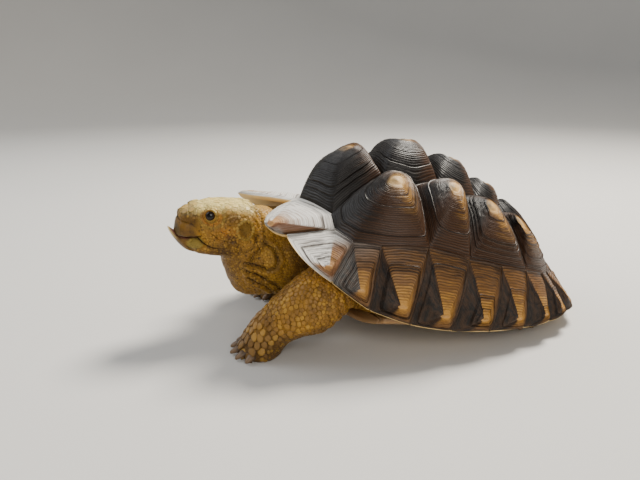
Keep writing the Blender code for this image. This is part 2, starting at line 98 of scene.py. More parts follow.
# Worn patch, lengthwise and across, and bleaching of marginals 1 to 12.
RIM_PATCH = ((0.10, 0.10), (0.14, 0.08), *((0.15, 0.05),) * 10)
RIM_BLEACH = (1.0, 0.8, 0.12, *(0.0,) * 9)
# Corners of the large scutes, on the left side and on the spine.
CORNERS = {
    "front": (0, -154, 103),
    "shoulder": (55, -130, 98),
    "v12": (42, -70, 145), "c12": (54, -34, 140),
    "v23": (41, 3, 146), "c23": (52, 28, 133),
    "v34": (36, 63, 128), "c34": (42, 86, 116),
    "v45": (24, 112, 112),
    "mid12": (0, -70, 153), "mid23": (0, 3, 158),
    "mid34": (0, 64, 142), "mid45": (0, 113, 124),
}
# The corners round each large scute; a number is the inner end of that marginal seam.
VERTEBRALS = (
    ("front", "shoulder", "v12", "mid12"),
    ("mid12", "v12", "c12", "v23", "mid23"),
    ("mid23", "v23", "c23", "v34", "mid34"),
    ("mid34", "v34", "c34", "v45", "mid45"),
    ("mid45", "v45", 10, 11, 12),
)
COSTALS = (
    ("shoulder", "v12", "c12", 4, 3, 2, 1),
    ("c12", "v23", "c23", 5, 4),
    ("c23", "v34", "c34", 7, 6, 5),
    ("c34", "v45", 10, 9, 8, 7),
)
# Growth points of the large scutes.
VERTEBRAL_TIPS = ((0, -103, 170), (0, -31, 188), (0, 36, 173), (0, 92, 147), (0, 139, 119))
COSTAL_TIPS = ((89, -74, 150), (96, -7, 150), (90, 49, 132), (76, 103, 114))


def unit(vectors, least=0.0):
    """Vectors brought to length 1; those shorter than least stay short."""
    return vectors / np.maximum(np.linalg.norm(vectors, axis=-1, keepdims=True), least)


def circle(count):
    """Angles evenly round a circle."""
    return np.linspace(0, 2 * math.pi, count, endpoint=False)


def outward(points):
    """Unit direction leading out of the shell at points near it."""
    p = np.asarray(points, float)
    return unit(p - p * (0.0, 0.6, 0.0))


def stand(points):
    """From the level shell to the standing animal, still in millimetres."""
    return np.asarray(points, float) @ TILT.T + (0.0, CENTRE_Y, LIFT)


def level(points):
    """From the standing animal, before its shift along the floor, back to the level shell."""
    return (np.asarray(points, float) - (0, 0, LIFT)) @ TILT


def corner(key):
    return np.array(INNER_EDGE[key] if isinstance(key, int) else CORNERS[key], float)


def mirrored(points):
    return np.asarray(points, float)[::-1] * np.array((-1.0, 1.0, 1.0))


def bowed(start, end, bow):
    """Points from start up to, but not including, end, bowed out by a vector halfway."""
    t = np.linspace(0, 1, STEPS + 1)[:-1, None]
    return start + (end - start) * t + bow * 4 * t * (1 - t)


def arc(start, end):
    """Points from start up to, but not including, end, bowed with the dome."""
    if tuple(end) < tuple(start):
        return np.vstack((start, arc(end, start)[:0:-1]))
    bow = np.linalg.norm(end - start) ** 2 / (8 * DOME_RADIUS)
    return bowed(start, end, outward((start + end) / 2) * bow)


def arcs(keys):
    return np.vstack([arc(corner(a), corner(b)) for a, b in zip(keys, keys[1:])])


def seam(k):
    """Marginal seam k from the costals down to the rim, without its last point."""
    start, end = corner(k), np.array(RIM_EDGE[k], float)
    return bowed(start, end, outward((start + end) / 2) * SEAM_BOW[k])


def rim(k):
    """Free rim of marginal k from its rear seam to its front seam, without the last point."""
    start, end = np.array(RIM_EDGE[k], float), np.array(RIM_EDGE[k - 1], float)
    if k == 1:
        horn = np.array(FRONT_HORN, float)
        under, over = np.array(HORN_BOWS)
        return np.vstack((bowed(start, horn, under), bowed(horn, end, over)))
    return bowed(start, end, outward((start + end) / 2) * (1.0, 1.0, 0.3) * RIM_BULGE[k - 1])


def vertebral_outline(keys):
    whole = np.vstack((arcs(keys), corner(keys[-1])))
    return np.vstack((whole, mirrored(whole)[1:-1]))


def costal_outline(keys):
    return arcs(keys + keys[:1])


def marginal_outline(k):
    """Outline of marginal k, and for each point 1 on the free rim, 2 on the front seam or 0."""
    top = arcs((0, "shoulder", 1) if k == 1 else (k - 1, k))
    front = np.vstack((seam(k - 1), RIM_EDGE[k - 1]))[:0:-1]
    parts = (top, seam(k), rim(k), front)
    kinds = np.concatenate([np.full(len(p), kind) for p, kind in zip(parts, (0, 0, 1, 2))])
    return np.vstack(parts), kinds


def front_face(kinds):
    """How far each point of a marginal's outline belongs to its front face, from 0 to 1."""
    rim_points = np.nonzero(kinds == 1)[0]
    face = (kinds == 2).astype(float)
    face[rim_points] = smoothstep(0.30, 0.75, np.linspace(0, 1, len(rim_points)))
    return rounded(face, 2)


def supracaudal_outline():
    """Outline of the supracaudal, and 1 for each point on the free rim or 0."""
    edge = np.vstack((RIM_EDGE[11], rim(12)[::-1]))
    upper = np.vstack((arcs((12, 11)), seam(11)))
    side = np.vstack((upper, edge))
    free = np.concatenate((np.zeros(len(upper)), np.ones(len(edge))))
    return np.vstack((side, mirrored(side)[1:-1])), np.concatenate((free, free[::-1][1:-1]))


def marginal_tip(k):
    """Growth point of marginal k: low down and near its rear seam, raised off the seams."""
    if k == 12:
        base = low_on_seam(12, TIP_LOWNESS)
    elif k == 1:
        base = np.array(FRONT_HORN) * HORN_SHARE + low_on_seam(1, 0.5) * (1 - HORN_SHARE)
    else:
        rearward = TIP_REARWARD[min(k - 2, 1)]
        base = low_on_seam(k, TIP_LOWNESS) * rearward
        base = base + low_on_seam(k - 1, TIP_LOWNESS) * (1 - rearward)
    return base + outward(base) * MARGINAL_HEIGHT[k - 1]


def low_on_seam(k, lowness):
    """The point that share of the way down seam k, from the costals to the rim."""
    return corner(k) * (1 - lowness) + np.array(RIM_EDGE[k]) * lowness


# ------------------------ numbers
def lattice(cells, seed):
    """A repeatable value from 0 to 1 for each whole-number cell."""
    x, y, z = (cells[..., i].astype(np.int64) for i in range(3))
    n = (x * 73856093) ^ (y * 19349663) ^ (z * 83492791) ^ (seed * 2654435761)
    n = (n ^ (n >> 13)) * 1274126177
    return ((n ^ (n >> 16)) & 0xFFFF) / 65535.0


def noise(points, size, seed=0):
    """Smooth value noise from -1 to 1 with lumps about size across."""
    p = np.asarray(points, float) / size
    cell = np.floor(p)
    f = p - cell
    f = f * f * (3 - 2 * f)
    total = 0.0
    for dx in (0, 1):
        for dy in (0, 1):
            for dz in (0, 1):
                weight = (np.where(dx, f[..., 0], 1 - f[..., 0])
                          * np.where(dy, f[..., 1], 1 - f[..., 1])
                          * np.where(dz, f[..., 2], 1 - f[..., 2]))
                total = total + weight * lattice(cell + (dx, dy, dz), seed)
    return total * 2 - 1


def rough(points, size, seed=0):
    """Two octaves of noise."""
    return (noise(points, size, seed) + 0.5 * noise(points, size / 2.1, seed + 7)) / 1.5


def smoothstep(low, high, value):
    t = np.clip((np.asarray(value, float) - low) / (high - low), 0, 1)
    return t * t * (3 - 2 * t)


def blend(first, second, share):
    return first + (second - first) * share


# ------------------------ meshes
def write_mesh(name, points, faces, values=None, uv=None, material=None):
    """A smooth mesh object from points in millimetres, a list of faces and values per point."""
    mesh = bpy.data.meshes.new(name)
    blocks = faces if isinstance(faces, list) else [faces]
    corners = np.concatenate([block.ravel() for block in blocks]).astype(np.int32)
    sizes = np.concatenate([np.full(len(block), block.shape[1]) for block in blocks])
    mesh.vertices.add(len(points))
    mesh.vertices.foreach_set("co", (np.asarray(points) * MM).astype(np.float32).ravel())
    mesh.loops.add(len(corners))
    mesh.loops.foreach_set("vertex_index", corners)
    mesh.polygons.add(len(sizes))
    starts = np.concatenate(((0,), np.cumsum(sizes)[:-1]))
    mesh.polygons.foreach_set("loop_start", starts.astype(np.int32))
    mesh.update(calc_edges=True)
    mesh.shade_smooth()
    write_values(mesh, values or {})
    if uv is not None:
        layer = mesh.uv_layers.new(name="OFBake")
        layer.data.foreach_set("uv", np.asarray(uv, np.float32)[corners].ravel())
    if material:
        mesh.materials.append(material)
    return link(bpy.data.objects.new(name, mesh))


def write_values(mesh, values):
    """One number for each point, under each name."""
    for key, value in values.items():
        layer = mesh.attributes.new(key, "FLOAT", "POINT")
        layer.data.foreach_set("value", np.asarray(value, np.float32))


def read_values(items, key, width, kind=np.float32):
    """A table of one property of a mesh's points, edges or triangles."""
    found = np.empty(len(items) * width, kind)
    items.foreach_get(key, found)
    return found.reshape(-1, width)


def link(obj):
    bpy.context.scene.collection.objects.link(obj)
    return obj


def finish_piece(obj, slot_name, *nodes):
    """Puts a piece on the animal, in place of the solids that it stands for."""
    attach(obj, "root")
    if nodes:
        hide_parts(*nodes)
    return obj


def band_faces(rows, columns):
    """Quads between rows of closed rings of points."""
    j, i = np.meshgrid(np.arange(rows - 1), np.arange(columns), indexing="ij")
    a, b = j * columns + i, j * columns + (i + 1) % columns
    return np.stack((a, b, b + columns, a + columns), -1).reshape(-1, 4)


def fan_faces(start, count, hub, flip=False):
    """Triangles between a closed ring, whose first point is start, and a hub."""
    i = np.arange(count)
    a, b = start + i, start + (i + 1) % count
    return np.stack((b, a, np.full(count, hub)) if flip else (a, b, np.full(count, hub)), 1)


def plate_faces(rows, outline, axis):
    """Faces of rings from an outline up, with hubs above and below, and which way they wind.

    They are turned round, and -1 comes with them, where the outline runs against the axis.
    """
    count = len(outline)
    hub = rows * count
    faces = (band_faces(rows, count), fan_faces(hub - count, count, hub),
             fan_faces(0, count, hub + 1, True))
    turn = np.cross(outline[count // 3] - outline[0], outline[2 * count // 3] - outline[0])
    way = -1 if turn @ axis < 0 else 1
    return [block[:, ::way] for block in faces], way


def grid_normals(grid):
    """Normals of a surface given as rows of closed rings."""
    along = np.gradient(grid, axis=0)
    around = np.roll(grid, -1, 1) - np.roll(grid, 1, 1)
    return unit(np.cross(around, along), 1e-9)


def joined(solids):
    """Several solids as one array of points and one list of faces."""
    faces, start = [], 0
    for points, blocks in solids:
        faces += [block + start for block in blocks]
        start += len(points)
    return np.vstack([points for points, _ in solids]), faces


def even(outline, spacing, flags=None):
    """A closed outline resampled at an even spacing, and flags of its points with it."""
    closed = np.vstack((outline, outline[:1]))
    run = np.concatenate(((0.0,), np.cumsum(np.linalg.norm(np.diff(closed, axis=0), axis=1))))
    count = int(round(run[-1] / spacing))
    at = np.linspace(0, run[-1], count, endpoint=False)
    points = np.stack([np.interp(at, run, closed[:, i]) for i in range(3)], -1)
    return points if flags is None else (points, flags[np.searchsorted(run, at + 1e-6) - 1])


# ------------------------ horn scutes
# Share of rings without a deep stop, the width of a stop in rings, and steps between rings.
STOP_RARITY = 0.88
STOP_WIDTH = 0.28
STEP_SHARE = 0.45
# How rings wander, in rings, and how the horn is lumped: amount, size and seed.
RING_WANDER = ((0.55, 24, 0), (0.22, 7, 3))
HORN_LUMPS = ((0.8, 26, 5), (0.22, 4, 9))
ROWS_PER_RING = 5
CAP_ROWS = 5
# How steeply each kind of scute rises from its seams to its tip; 1 is a straight slope.
SWELL = {"vertebral_horn": 2.5, "costal_horn": 2.0, "marginal_horn": 1.9}
# Unwrap of a scute: middle and size of its disc, radii of its wall, place of its underside.
DISC_MIDDLE = 0.48
DISC_RADIUS = 0.42
WALL_RADII = (0.47, 0.445)
UNDER_SPOT = 0.985


def ring_relief(phase, seed):
    """Height and groove depth of growth rings: uneven rounded ridges and some deep stops."""
    ring = np.floor(phase)
    part = phase - ring
    cell = np.stack((ring, ring * 0, ring * 0), -1)
    strength = 0.7 + 0.3 * lattice(cell, seed)
    step = lattice(cell + 1, seed + 1) * (1 - part) + lattice(cell + (2, 1, 1), seed + 1) * part
    ridge = np.sqrt(np.abs(np.sin(np.pi * part))) * strength
    before, after = (np.where(lattice(cell + (k, 0, 0), seed + 2) > STOP_RARITY, 1.0, 0.0)
                     for k in (0, 1))
    cut = before * bell(part, STOP_WIDTH) + after * bell(1 - part, STOP_WIDTH)
    return ridge + STEP_SHARE * step, cut


def lumps(points, kinds, seed, total=0.0):
    """Noise of several sizes added up: amount, size and seed of each."""
    for amount, size, shift in kinds:
        total = total + amount * noise(points, size, seed + shift)
    return total


def rounded(values, reach):
    """A closed run of points or numbers averaged over reach neighbours each way."""
    offsets = np.arange(-reach, reach + 1)
    weights = np.exp(-(offsets * 1.6 / max(reach, 1)) ** 2)
    total = sum(w * np.roll(values, k, 0) for k, w in zip(offsets, weights))
    return total / weights.sum()


def scute(name, outline, tip, slot_name, pitch, seed, height=None,
          patch=(AREOLA, AREOLA), free=0.0, face=0.0, bleach=0.0, corner_round=CORNER_ROUND):
    """One horn sheath: growth rings round a worn patch, with its side wall and underside."""
    shell = bpy.context.scene.tortoise_shell
    middle = outline.mean(0)
    edge = outline - unit(outline - middle) * SHRINK
    axis = outward(middle if height is None else tip)
    tall = float((tip - middle) @ axis) if height is None else height
    centre = tip - axis * tall
    lengthwise = unit((0.0, 1.0, 0.0) - axis * axis[1])
    reach = edge - centre
    flat = reach - (reach @ axis)[:, None] * axis
    far = np.linalg.norm(flat, axis=1, keepdims=True)
    soft = TIP_ROUND * flat / far * far.mean() + (1 - TIP_ROUND) * reach
    along = (soft @ lengthwise)[:, None] * lengthwise
    worn = centre + along * patch[0] + (soft - along) * patch[1]
    count = len(outline)
    slope = np.linalg.norm(edge - tip, axis=1).max()
    rings = slope / pitch
    rows = int(rings * ROWS_PER_RING)
    t = np.linspace(0, 1, rows)[:, None]
    calm = rounded(edge, int(round(count * corner_round)))
    bend = smoothstep(0.0, 0.3, t)[..., None]
    grid = (edge + (calm - edge) * bend) * (1 - t[..., None]) + worn * t[..., None]
    grid = grid + axis * tall * (1 - (1 - t[..., None]) ** SWELL[slot_name])
    phase = lumps(grid, RING_WANDER, seed, t * rings)
    relief, cut = ring_relief(phase, seed)
    fade = smoothstep(0.0, 0.03, t) * smoothstep(1.0, 0.90, t)
    lift = (relief - 0.9) * shell.ridge_height - cut * shell.groove_depth
    lift = lumps(grid, HORN_LUMPS, seed, lift) * fade
    lift = lift - (shell.seam_depth + 0.7) * np.exp(-t / 0.014) * (1 - 0.85 * free)
    normals = grid_normals(grid)
    shown = grid + normals * lift[..., None]
    k = (np.arange(1, CAP_ROWS) / CAP_ROWS)[:, None, None]
    summit = shown[-1].mean(0) + axis * 1.3
    cap = shown[-1] * (1 - k) + summit * k
    cap = cap + axis * (0.5 * noise(cap, 5, seed + 2)[..., None] * np.sin(np.pi * k))
    low = edge - outward(edge) * HORN
    points = np.vstack((low, (shown[0] + low) / 2, shown.reshape(-1, 3), cap.reshape(-1, 3),
                        summit[None], low.mean(0)[None]))
    faces, way = plate_faces(len(points) // count, edge, axis)

    def spread(body, wall=0.0, crest=0.0, below=0.0):
        """Values of the rows between the side wall's and those of the cap and underside."""
        return np.concatenate((np.broadcast_to(wall, (2, count)).ravel(),
                               np.broadcast_to(body, (rows, count)).ravel(),
                               np.full(count * (CAP_ROWS - 1) + 1, crest), (below,)))

    flat = points - centre
    flat = unit(flat - (flat @ axis)[:, None] * axis, 1e-6)
    values = {
        "growth": spread(t, crest=1.0), "ring": spread(phase, crest=rings),
        "groove": spread(cut * fade, 0.5), "aft": flat[:, 1],
        "lip": spread(free * smoothstep(0.05, 0.02, t), free),
        "under": spread(0.0, ((1.0,), (0.7,)), below=1.0),
        "skyward": spread(normals[..., 2] * way, 0.0, 1.0, -1.0), "fore": spread(face),
        "bleach": np.full(len(points), bleach), "weather": rough(points, 34, seed + 11),
    }
    obj = write_mesh(name + "_horn", stand(points), faces, values, scute_unwrap(shown),
                     finish(slot_name, horn_look, slot_name, IOR=1.45, Specular_IOR_Level=0.32))
    return finish_piece(obj, slot_name, name)


def scute_unwrap(grid):
    """Polar unwrap from the tip, with the side wall round the disc and the underside beside."""
    runs = np.linalg.norm(np.diff(grid, axis=0), axis=-1).mean(1)
    run = np.concatenate(((0.0,), np.cumsum(runs)))
    inner = np.linalg.norm(grid[-1] - grid[-1].mean(0), axis=1).mean()
    radius = (run[-1] - run + inner) / (run[-1] + inner) * DISC_RADIUS
    cap = radius[-1] * (1 - np.arange(1, CAP_ROWS) / CAP_ROWS)
    radius = np.concatenate((WALL_RADII, radius, cap))
    middle = grid[len(grid) // 3]
    steps = np.linalg.norm(np.roll(middle, -1, 0) - middle, axis=1)
    angle = np.concatenate(((0.0,), np.cumsum(steps)[:-1])) / steps.sum() * 2 * math.pi
    ring = np.stack((np.cos(angle), np.sin(angle)), -1)
    uv = DISC_MIDDLE + radius[:, None, None] * ring
    return np.vstack((uv.reshape(-1, 2), (DISC_MIDDLE,) * 2, (UNDER_SPOT,) * 2))


# ------------------------ shader maths
class Value:
    """A number flowing between shader nodes; arithmetic on it adds Math nodes."""

    def __init__(self, maker, socket):
        self.maker, self.socket = maker, socket

    def join(self, operation, other=0.0):
        return self.maker.node("ShaderNodeMath", {"operation": operation}, {0: self, 1: other})

    def __add__(self, other):
        return self.join("ADD", other)

    def __sub__(self, other):
        return self.join("SUBTRACT", other)

    def __mul__(self, other):
        return self.join("MULTIPLY", other)

    def __rsub__(self, other):
        return (self * -1.0) + other

    def __pow__(self, other):
        return self.join("POWER", other)

    __radd__ = __add__
    __rmul__ = __mul__

    def clamp(self):
        return self.join("MAXIMUM", 0.0).join("MINIMUM", 1.0)

    def wave(self):
        """A cosine from 0 to 1 that peaks at every whole number."""
        return (self * (2 * math.pi)).join("COSINE") * 0.5 + 0.5

    def between(self, low, high):
        """0 below low, 1 above high and smooth between; falls instead if low is the greater."""
        if low > high:
            return 1.0 - self.between(high, low)
        return self.maker.node("ShaderNodeMapRange", {"interpolation_type": "SMOOTHSTEP"},
                               {"Value": self, "From Min": low, "From Max": high})


class Finish:
    """Builds one material on a Principled shader."""

    def __init__(self, name, **constants):
        self.material = bpy.data.materials.new(name)
        self.material.use_nodes = True
        self.tree = self.material.node_tree
        self.shader = self.tree.nodes["Principled BSDF"]
        self.surface(**constants)

    def put(self, socket, value):
        """Sets a socket to a number, a colour or a colour named in the settings, or links it."""
        if isinstance(value, str):
            value = tuple(getattr(bpy.context.scene.tortoise_colours, value))
        if isinstance(value, Value):
            self.tree.links.new(value.socket, socket)
        elif isinstance(value, tuple):
            socket.default_value = (*value, 1.0)
        else:
            socket.default_value = value

    def node(self, kind, settings, inputs, output=0):
        """Adds a node: settings first, then values or links for its sockets."""
        made = self.tree.nodes.new(kind)
        for key, value in settings.items():
            setattr(made, key, value)
        for key, value in inputs.items():
            self.put(made.inputs[key], value)
        return Value(self, made.outputs[output])

    def attribute(self, name):
        return self.node("ShaderNodeAttribute", {"attribute_name": name}, {}, "Fac")

    def attributes(self, names):
        return [self.attribute(name) for name in names.split()]

    def place(self):
        """Object position in metres, for patterns at real size."""
        return self.node("ShaderNodeTexCoord", {}, {}, "Object")

    def noise(self, scale, detail=3.0, roughness=0.55, where=None):
        return self.node("ShaderNodeTexNoise", {},
                         {"Vector": where or self.place(), "Scale": scale, "Detail": detail,
                          "Roughness": roughness}, "Fac")

    def cells(self, scale, feature="F1"):
        return self.node("ShaderNodeTexVoronoi", {"feature": feature},
                         {"Vector": self.place(), "Scale": scale}, "Distance")

    def mix(self, amount, first, second):
        return self.node("ShaderNodeMix", {"data_type": "RGBA"},
                         {"Factor": amount, 6: first, 7: second}, 2)

    def bump(self, height, distance, strength):
        return self.node("ShaderNodeBump", {},
                         {"Height": height, "Distance": distance, "Strength": strength})

    def drawn_out(self, ring, aft, skyward, roughness):
        """Noise from 0 to 1, drawn out over the horn by these weights of its attributes."""
        vector = self.node("ShaderNodeCombineXYZ", {},
                           {"X": self.attribute("ring") * ring, "Y": self.attribute("aft") * aft,
                            "Z": self.attribute("skyward") * skyward})
        return self.noise(1.0, 4.0, roughness, vector).between(0.3, 0.7)

    def surface(self, **values):
        for key, value in values.items():
            self.put(self.shader.inputs[key.replace("_", " ")], value)
        return self.material


def finish(name, build, *details, **constants):
    """The material of that name, which build makes the first time that it is asked for."""
    name += "_finish"
    return bpy.data.materials.get(name) or build(Finish(name, **constants), *details)


# ------------------------ horn finishes
def horn_look(look, slot_name):
    """Horn of one kind of scute, with its growth lines, underside, free edge and a painted sky
    reflection on faces that look up.
    """
    growth, skyward, ring, bleach = look.attributes("growth skyward ring bleach")
    streaks = look.drawn_out(0.8, 1.4, 0.9, 0.65)
    mottle = look.noise(55.0, 4.0)
    if slot_name == "marginal_horn":
        base = marginal_colours(look, growth, skyward, bleach, streaks, mottle)
    else:
        base = large_scute_colours(look, growth, streaks, slot_name == "vertebral_horn")
    # Painted sky reflection: a pale sheen painted on faces that look up.
    sky_sheen = skyward.between(0.45, 0.98) * (mottle * 1.6 - 0.35).clamp() * 0.16
    base = look.mix(sky_sheen, base, "horn_bloom")
    away = growth.between(0.985, 0.88)
    stops = (look.attribute("groove") * (0.85 - bleach * 0.6) * away).clamp()
    base = look.mix(stops, base, "horn_groove")
    fine = ring.wave() ** 2.5
    lines = fine * (0.85 - bleach * 0.5) * (0.45 + streaks * 0.55) * away
    base = look.mix(lines, base, "horn_groove")
    base = look.mix(look.attribute("under").between(0.3, 0.8), base, "horn_under")
    base = look.mix(look.attribute("lip") * (0.5 + mottle * 0.9).clamp(), base, "horn_lip")
    scratches = look.noise(900.0, 2.0) * 0.4 + look.noise(260.0, 3.0) * 0.6
    return look.surface(Base_Color=base, Normal=look.bump(scratches, 0.0006, 0.55),
                        Roughness=0.30 + mottle * 0.16 + fine * 0.15 + bleach * 0.2)


def large_scute_colours(look, growth, streaks, along_spine):
    """Charcoal in front, brown behind, with amber rings spreading down from the tip; the change from
    front to rear is partly the horn's own colour and partly painted light, with front faces painted
    in shade and rear faces painted sunlit.
    """
    aft, weather = look.attributes("aft weather")
    # Where the brown and the amber begin from front to rear, and how much gold there is.
    brown_from, amber_from, rings, shoulder, patch = (
        (-0.1, 0.3, 0.45, 0.3, 0.3) if along_spine else (-0.95, -0.2, 1.0, 0.9, 0.85))
    # Front to rear: partly the horn's own colours, partly painted shade on the front faces and
    # painted sunlight on the rear faces.
    turn = aft + weather * 0.3 + (streaks - 0.5) * 0.4
    base = look.mix(turn.between(brown_from, brown_from + 0.7), "horn_dark", "horn_brown")
    amber = turn.between(amber_from, amber_from + 0.8) * growth.between(0.25, 0.85)
    amber = amber * (streaks * 1.4 - 0.1).clamp() * rings
    base = look.mix(amber.clamp(), base, "horn_gold")
    gold = growth.between(0.74, 0.97) * (0.5 + aft * 0.6 + weather * 0.3).clamp()
    base = look.mix(gold * shoulder, base, "horn_gold")
    worn = growth.between(0.88, 1.0) * (0.55 + weather * 0.4 + aft * 0.2).clamp()
    return look.mix(worn * patch, base, "horn_tan")


def marginal_colours(look, growth, skyward, bleach, streaks, mottle):
    """Rim scutes: ringed wedge, golden at its tip, beside a darker front face that is partly its own
    colour and partly painted shade.
    """
    aft, fore, weather = look.attributes("aft fore weather")
    up_band = growth + weather * 0.12 + (streaks - 0.5) * 0.45
    wedge = look.mix(up_band.between(-0.05, 0.40), "horn_umber", "rim_brown")
    wedge = look.mix(up_band.between(0.45, 1.0), wedge, "horn_gold")
    rosy = bleach * up_band.between(0.1, 0.5) * (0.9 - skyward.between(0.5, 0.95) * 0.6)
    wedge = look.mix(rosy.clamp(), wedge, "horn_rose")
    fibres = look.drawn_out(0.25, 9.0, 2.0, 0.6)
    front = look.mix((fibres * 1.2 - 0.1).clamp(), "horn_dark", "horn_umber")
    front = look.mix((bleach * (0.1 + streaks * 1.4)).clamp(), front, "horn_pale")
    # The most bleached scutes are chalky up to the tip, the next ones only in front.
    partly = bleach.between(0.98, 0.85)
    chalk = growth.between(0.95, 0.45) + partly * (growth.between(0.75, 0.15) - 1.0)
    chalk = chalk - partly * aft.between(-0.1, 0.6) * 0.8
    # Faces that look up are whiter: partly real bleaching, partly painted sunlight.
    chalk = (bleach * chalk * (0.25 + skyward * 1.1) * (0.2 + streaks * 1.3)).clamp()
    wedge = look.mix(chalk, wedge, "horn_pale")
    # The darker front face: partly the horn's own colour, partly painted shade.
    return look.mix((fore * 1.5 - 0.25 + (mottle - 0.5) * 0.3).clamp(), wedge, front)


# ------------------------ body plan
# Body sections are given in the standing frame, before the shift to the shared middle.
SHIFT = np.array((0.0, CENTRE_Y, 0.0))
# How far flesh is drawn in for the relief laid over it.
COAT = 0.7
# Thickness of the plastron, and the height of its keel in the level shell.
PLATE = 6.0
BELLY = -10.0
# The bridges between carapace and plastron, in seams from the front.
BRIDGE = (2.6, 7.6)
# Height of the inside of the shell along its spine.
SPINE_Y = (-154, -70, 3, 64, 113, 185)
SPINE_Z = (98, 145, 150, 134, 116, 58)
# Cranium, cheek and lower jaw sections: y, half width, top, bottom.
SKULL = (
    (-184, 22, 143, 113), (-197, 33, 156, 104), (-214, 35.5, 160, 108), (-230, 33.5, 161, 116),
    (-246, 29, 160.5, 117), (-258, 24.5, 159, 122), (-266, 21.5, 157, 126),
    (-272, 19.5, 155, 130), (-278, 16.0, 150.5, 132),
)
CHEEK = ((-196, 28, 130, 100), (-214, 33, 130, 99), (-232, 31.5, 130, 101), (-246, 27, 128, 104),
         (-258, 20, 123, 108))
JAW = (
    (-198, 25, 106, 95.5), (-214, 31.5, 110, 94.5), (-230, 30.5, 118, 95.5),
    (-246, 27.5, 119, 98.5), (-256, 24.0, 120.5, 100.5), (-264, 20.5, 123, 103),
    (-275, 15, 125, 110.5), (-280, 10.5, 125.5, 115.5), (-283.5, 6.5, 126, 120.5),
)
EYE = (22.2, -243.4, 147.2)
EYE_RADIUS = 8.0
GAZE = (0.925, -0.30, 0.23)
# Neck, tail and leg sections: centre, half width, half depth, lean in degrees.
NECK = (
    ((0, -228, 110), 24, 26, 100), ((0, -216, 106), 30, 40, 105), ((0, -202, 100), 37, 53, 108),
    ((0, -188, 94.5), 43, 55, 106), ((0, -172, 91), 48, 50, 100), ((0, -152, 92), 51, 46, 90),
    ((0, -128, 90), 54, 47, 90), ((0, -100, 88), 50, 44, 90),
)
TAIL = (
    ((0, 120, 54), 20, 17, -90), ((0, 156, 48), 18, 15, -80), ((0, 174, 39), 14, 12, -62),
    ((0, 185, 29), 9, 8, -42), ((0, 189, 20), 4, 4, -25),
)
LEGS = {
    "foreleg_left": (
        ((66, -86, 82), 30, 28, 64), ((86, -114, 79), 32, 32, 60), ((97, -140, 68), 33, 33, 56),
        ((96, -161, 52), 32, 33, 44), ((86, -181, 36), 29, 29, 26), ((77, -196, 19), 29, 26, 10),
        ((73, -203, 6), 31, 26, 0), ((73, -204, 0), 28, 23, 0),
    ),
    "foreleg_right": (
        ((-66, -86, 82), 30, 28, 52), ((-87, -106, 76), 32, 31, 42), ((-101, -122, 62), 32, 32, 32),
        ((-105, -134, 46), 30, 31, 20), ((-101, -141, 30), 29, 29, 8), ((-98, -145, 15), 31, 29, 2),
        ((-96, -147, 6), 33, 29, 0), ((-96, -148, 0), 30, 26, 0),
    ),
    "hindleg_left": (
        ((58, 90, 54), 27, 23, -40), ((76, 106, 50), 27, 24, -34), ((88, 119, 42), 25, 23, -22),
        ((91, 126, 30), 23, 22, -8), ((90, 128, 15), 24, 23, 0), ((89, 127, 5), 26, 25, 0),
        ((89, 126, 0), 23, 22, 0),
    ),
    "hindleg_right": (
        ((-58, 78, 56), 27, 22, -20), ((-80, 90, 52), 27, 23, -18), ((-96, 97, 42), 25, 23, -10),
        ((-100, 100, 29), 22, 22, -2), ((-99, 100, 15), 23, 23, 0), ((-98, 99, 5), 25, 25, 0),
        ((-98, 98, 0), 22, 22, 0),
    ),
}
# Claws of a foot: number, spread and outward turn in degrees, length and radius.
CLAWS = {"foreleg": (5, 116, 0, 12, 5.6), "hindleg": (4, 104, 8, 13, 6.0)}


def belly(x, y):
    """Height of the plastron's underside: flat keel, raised lobes and upturned bridges."""
    lobe = 0.05 * np.maximum(0.0, -110.0 - y) + 0.2 * np.maximum(0.0, y - 70.0)
    return BELLY + lobe + 15.0 * (np.maximum(0.0, np.abs(x) - 92.0) / 47.0) ** 2


def oval(centre, wide, deep, lean, count, power=1.0):
    """Points round a leaning oval section; power below 1 squares it off."""
    a = math.radians(lean)
    along = np.array((0.0, math.cos(a), -math.sin(a)))
    c, s = np.cos(circle(count)), np.sin(circle(count))
    c, s = np.sign(c) * np.abs(c) ** power, np.sign(s) * np.abs(s) ** power
    return np.array(centre, float) + c[:, None] * (wide, 0, 0) + s[:, None] * along * deep


def smooth_rows(rows, steps):
    """Catmull-Rom rows between rows of numbers, for soft changes of section."""
    p = np.asarray(rows, float)
    p = np.vstack((2 * p[0] - p[1], p, 2 * p[-1] - p[-2]))
    out = []
    for i in range(1, len(p) - 2):
        for t in np.linspace(0, 1, steps, endpoint=False):
            a, b = 2 * p[i], p[i + 1] - p[i - 1]
            c = 2 * p[i - 1] - 5 * p[i] + 4 * p[i + 1] - p[i + 2]
            d = -p[i - 1] + 3 * p[i] - 3 * p[i + 1] + p[i + 2]
            out.append(0.5 * (a + b * t + c * t * t + d * t ** 3))
    return np.array(out + [p[-2]])


def loft_solid(sections):
    """Points and faces of a closed skin over sections of equal count."""
    sections = np.asarray(sections, float)
    rows, count = sections.shape[:2]
    ends = np.stack((sections[0].mean(0), sections[-1].mean(0)))
    points = np.vstack((sections.reshape(-1, 3), ends))
    hub = rows * count
    return points, [band_faces(rows, count), fan_faces(0, count, hub, True),
                    fan_faces(hub - count, count, hub + 1)]


def limb_solid(rows, count=40):
    flat = smooth_rows([(*c, a, b, lean) for c, a, b, lean in rows], 5)
    return loft_solid([oval(r[:3], r[3] - COAT, r[4] - COAT, r[5], count) for r in flat])


def profile_solid(rows, power, count=48):
    flat = smooth_rows(rows, 4)
    return loft_solid([oval((0, y, (top + low) / 2), wide - COAT, (top - low) / 2 - COAT, 90,
                            count, power) for y, wide, top, low in flat])


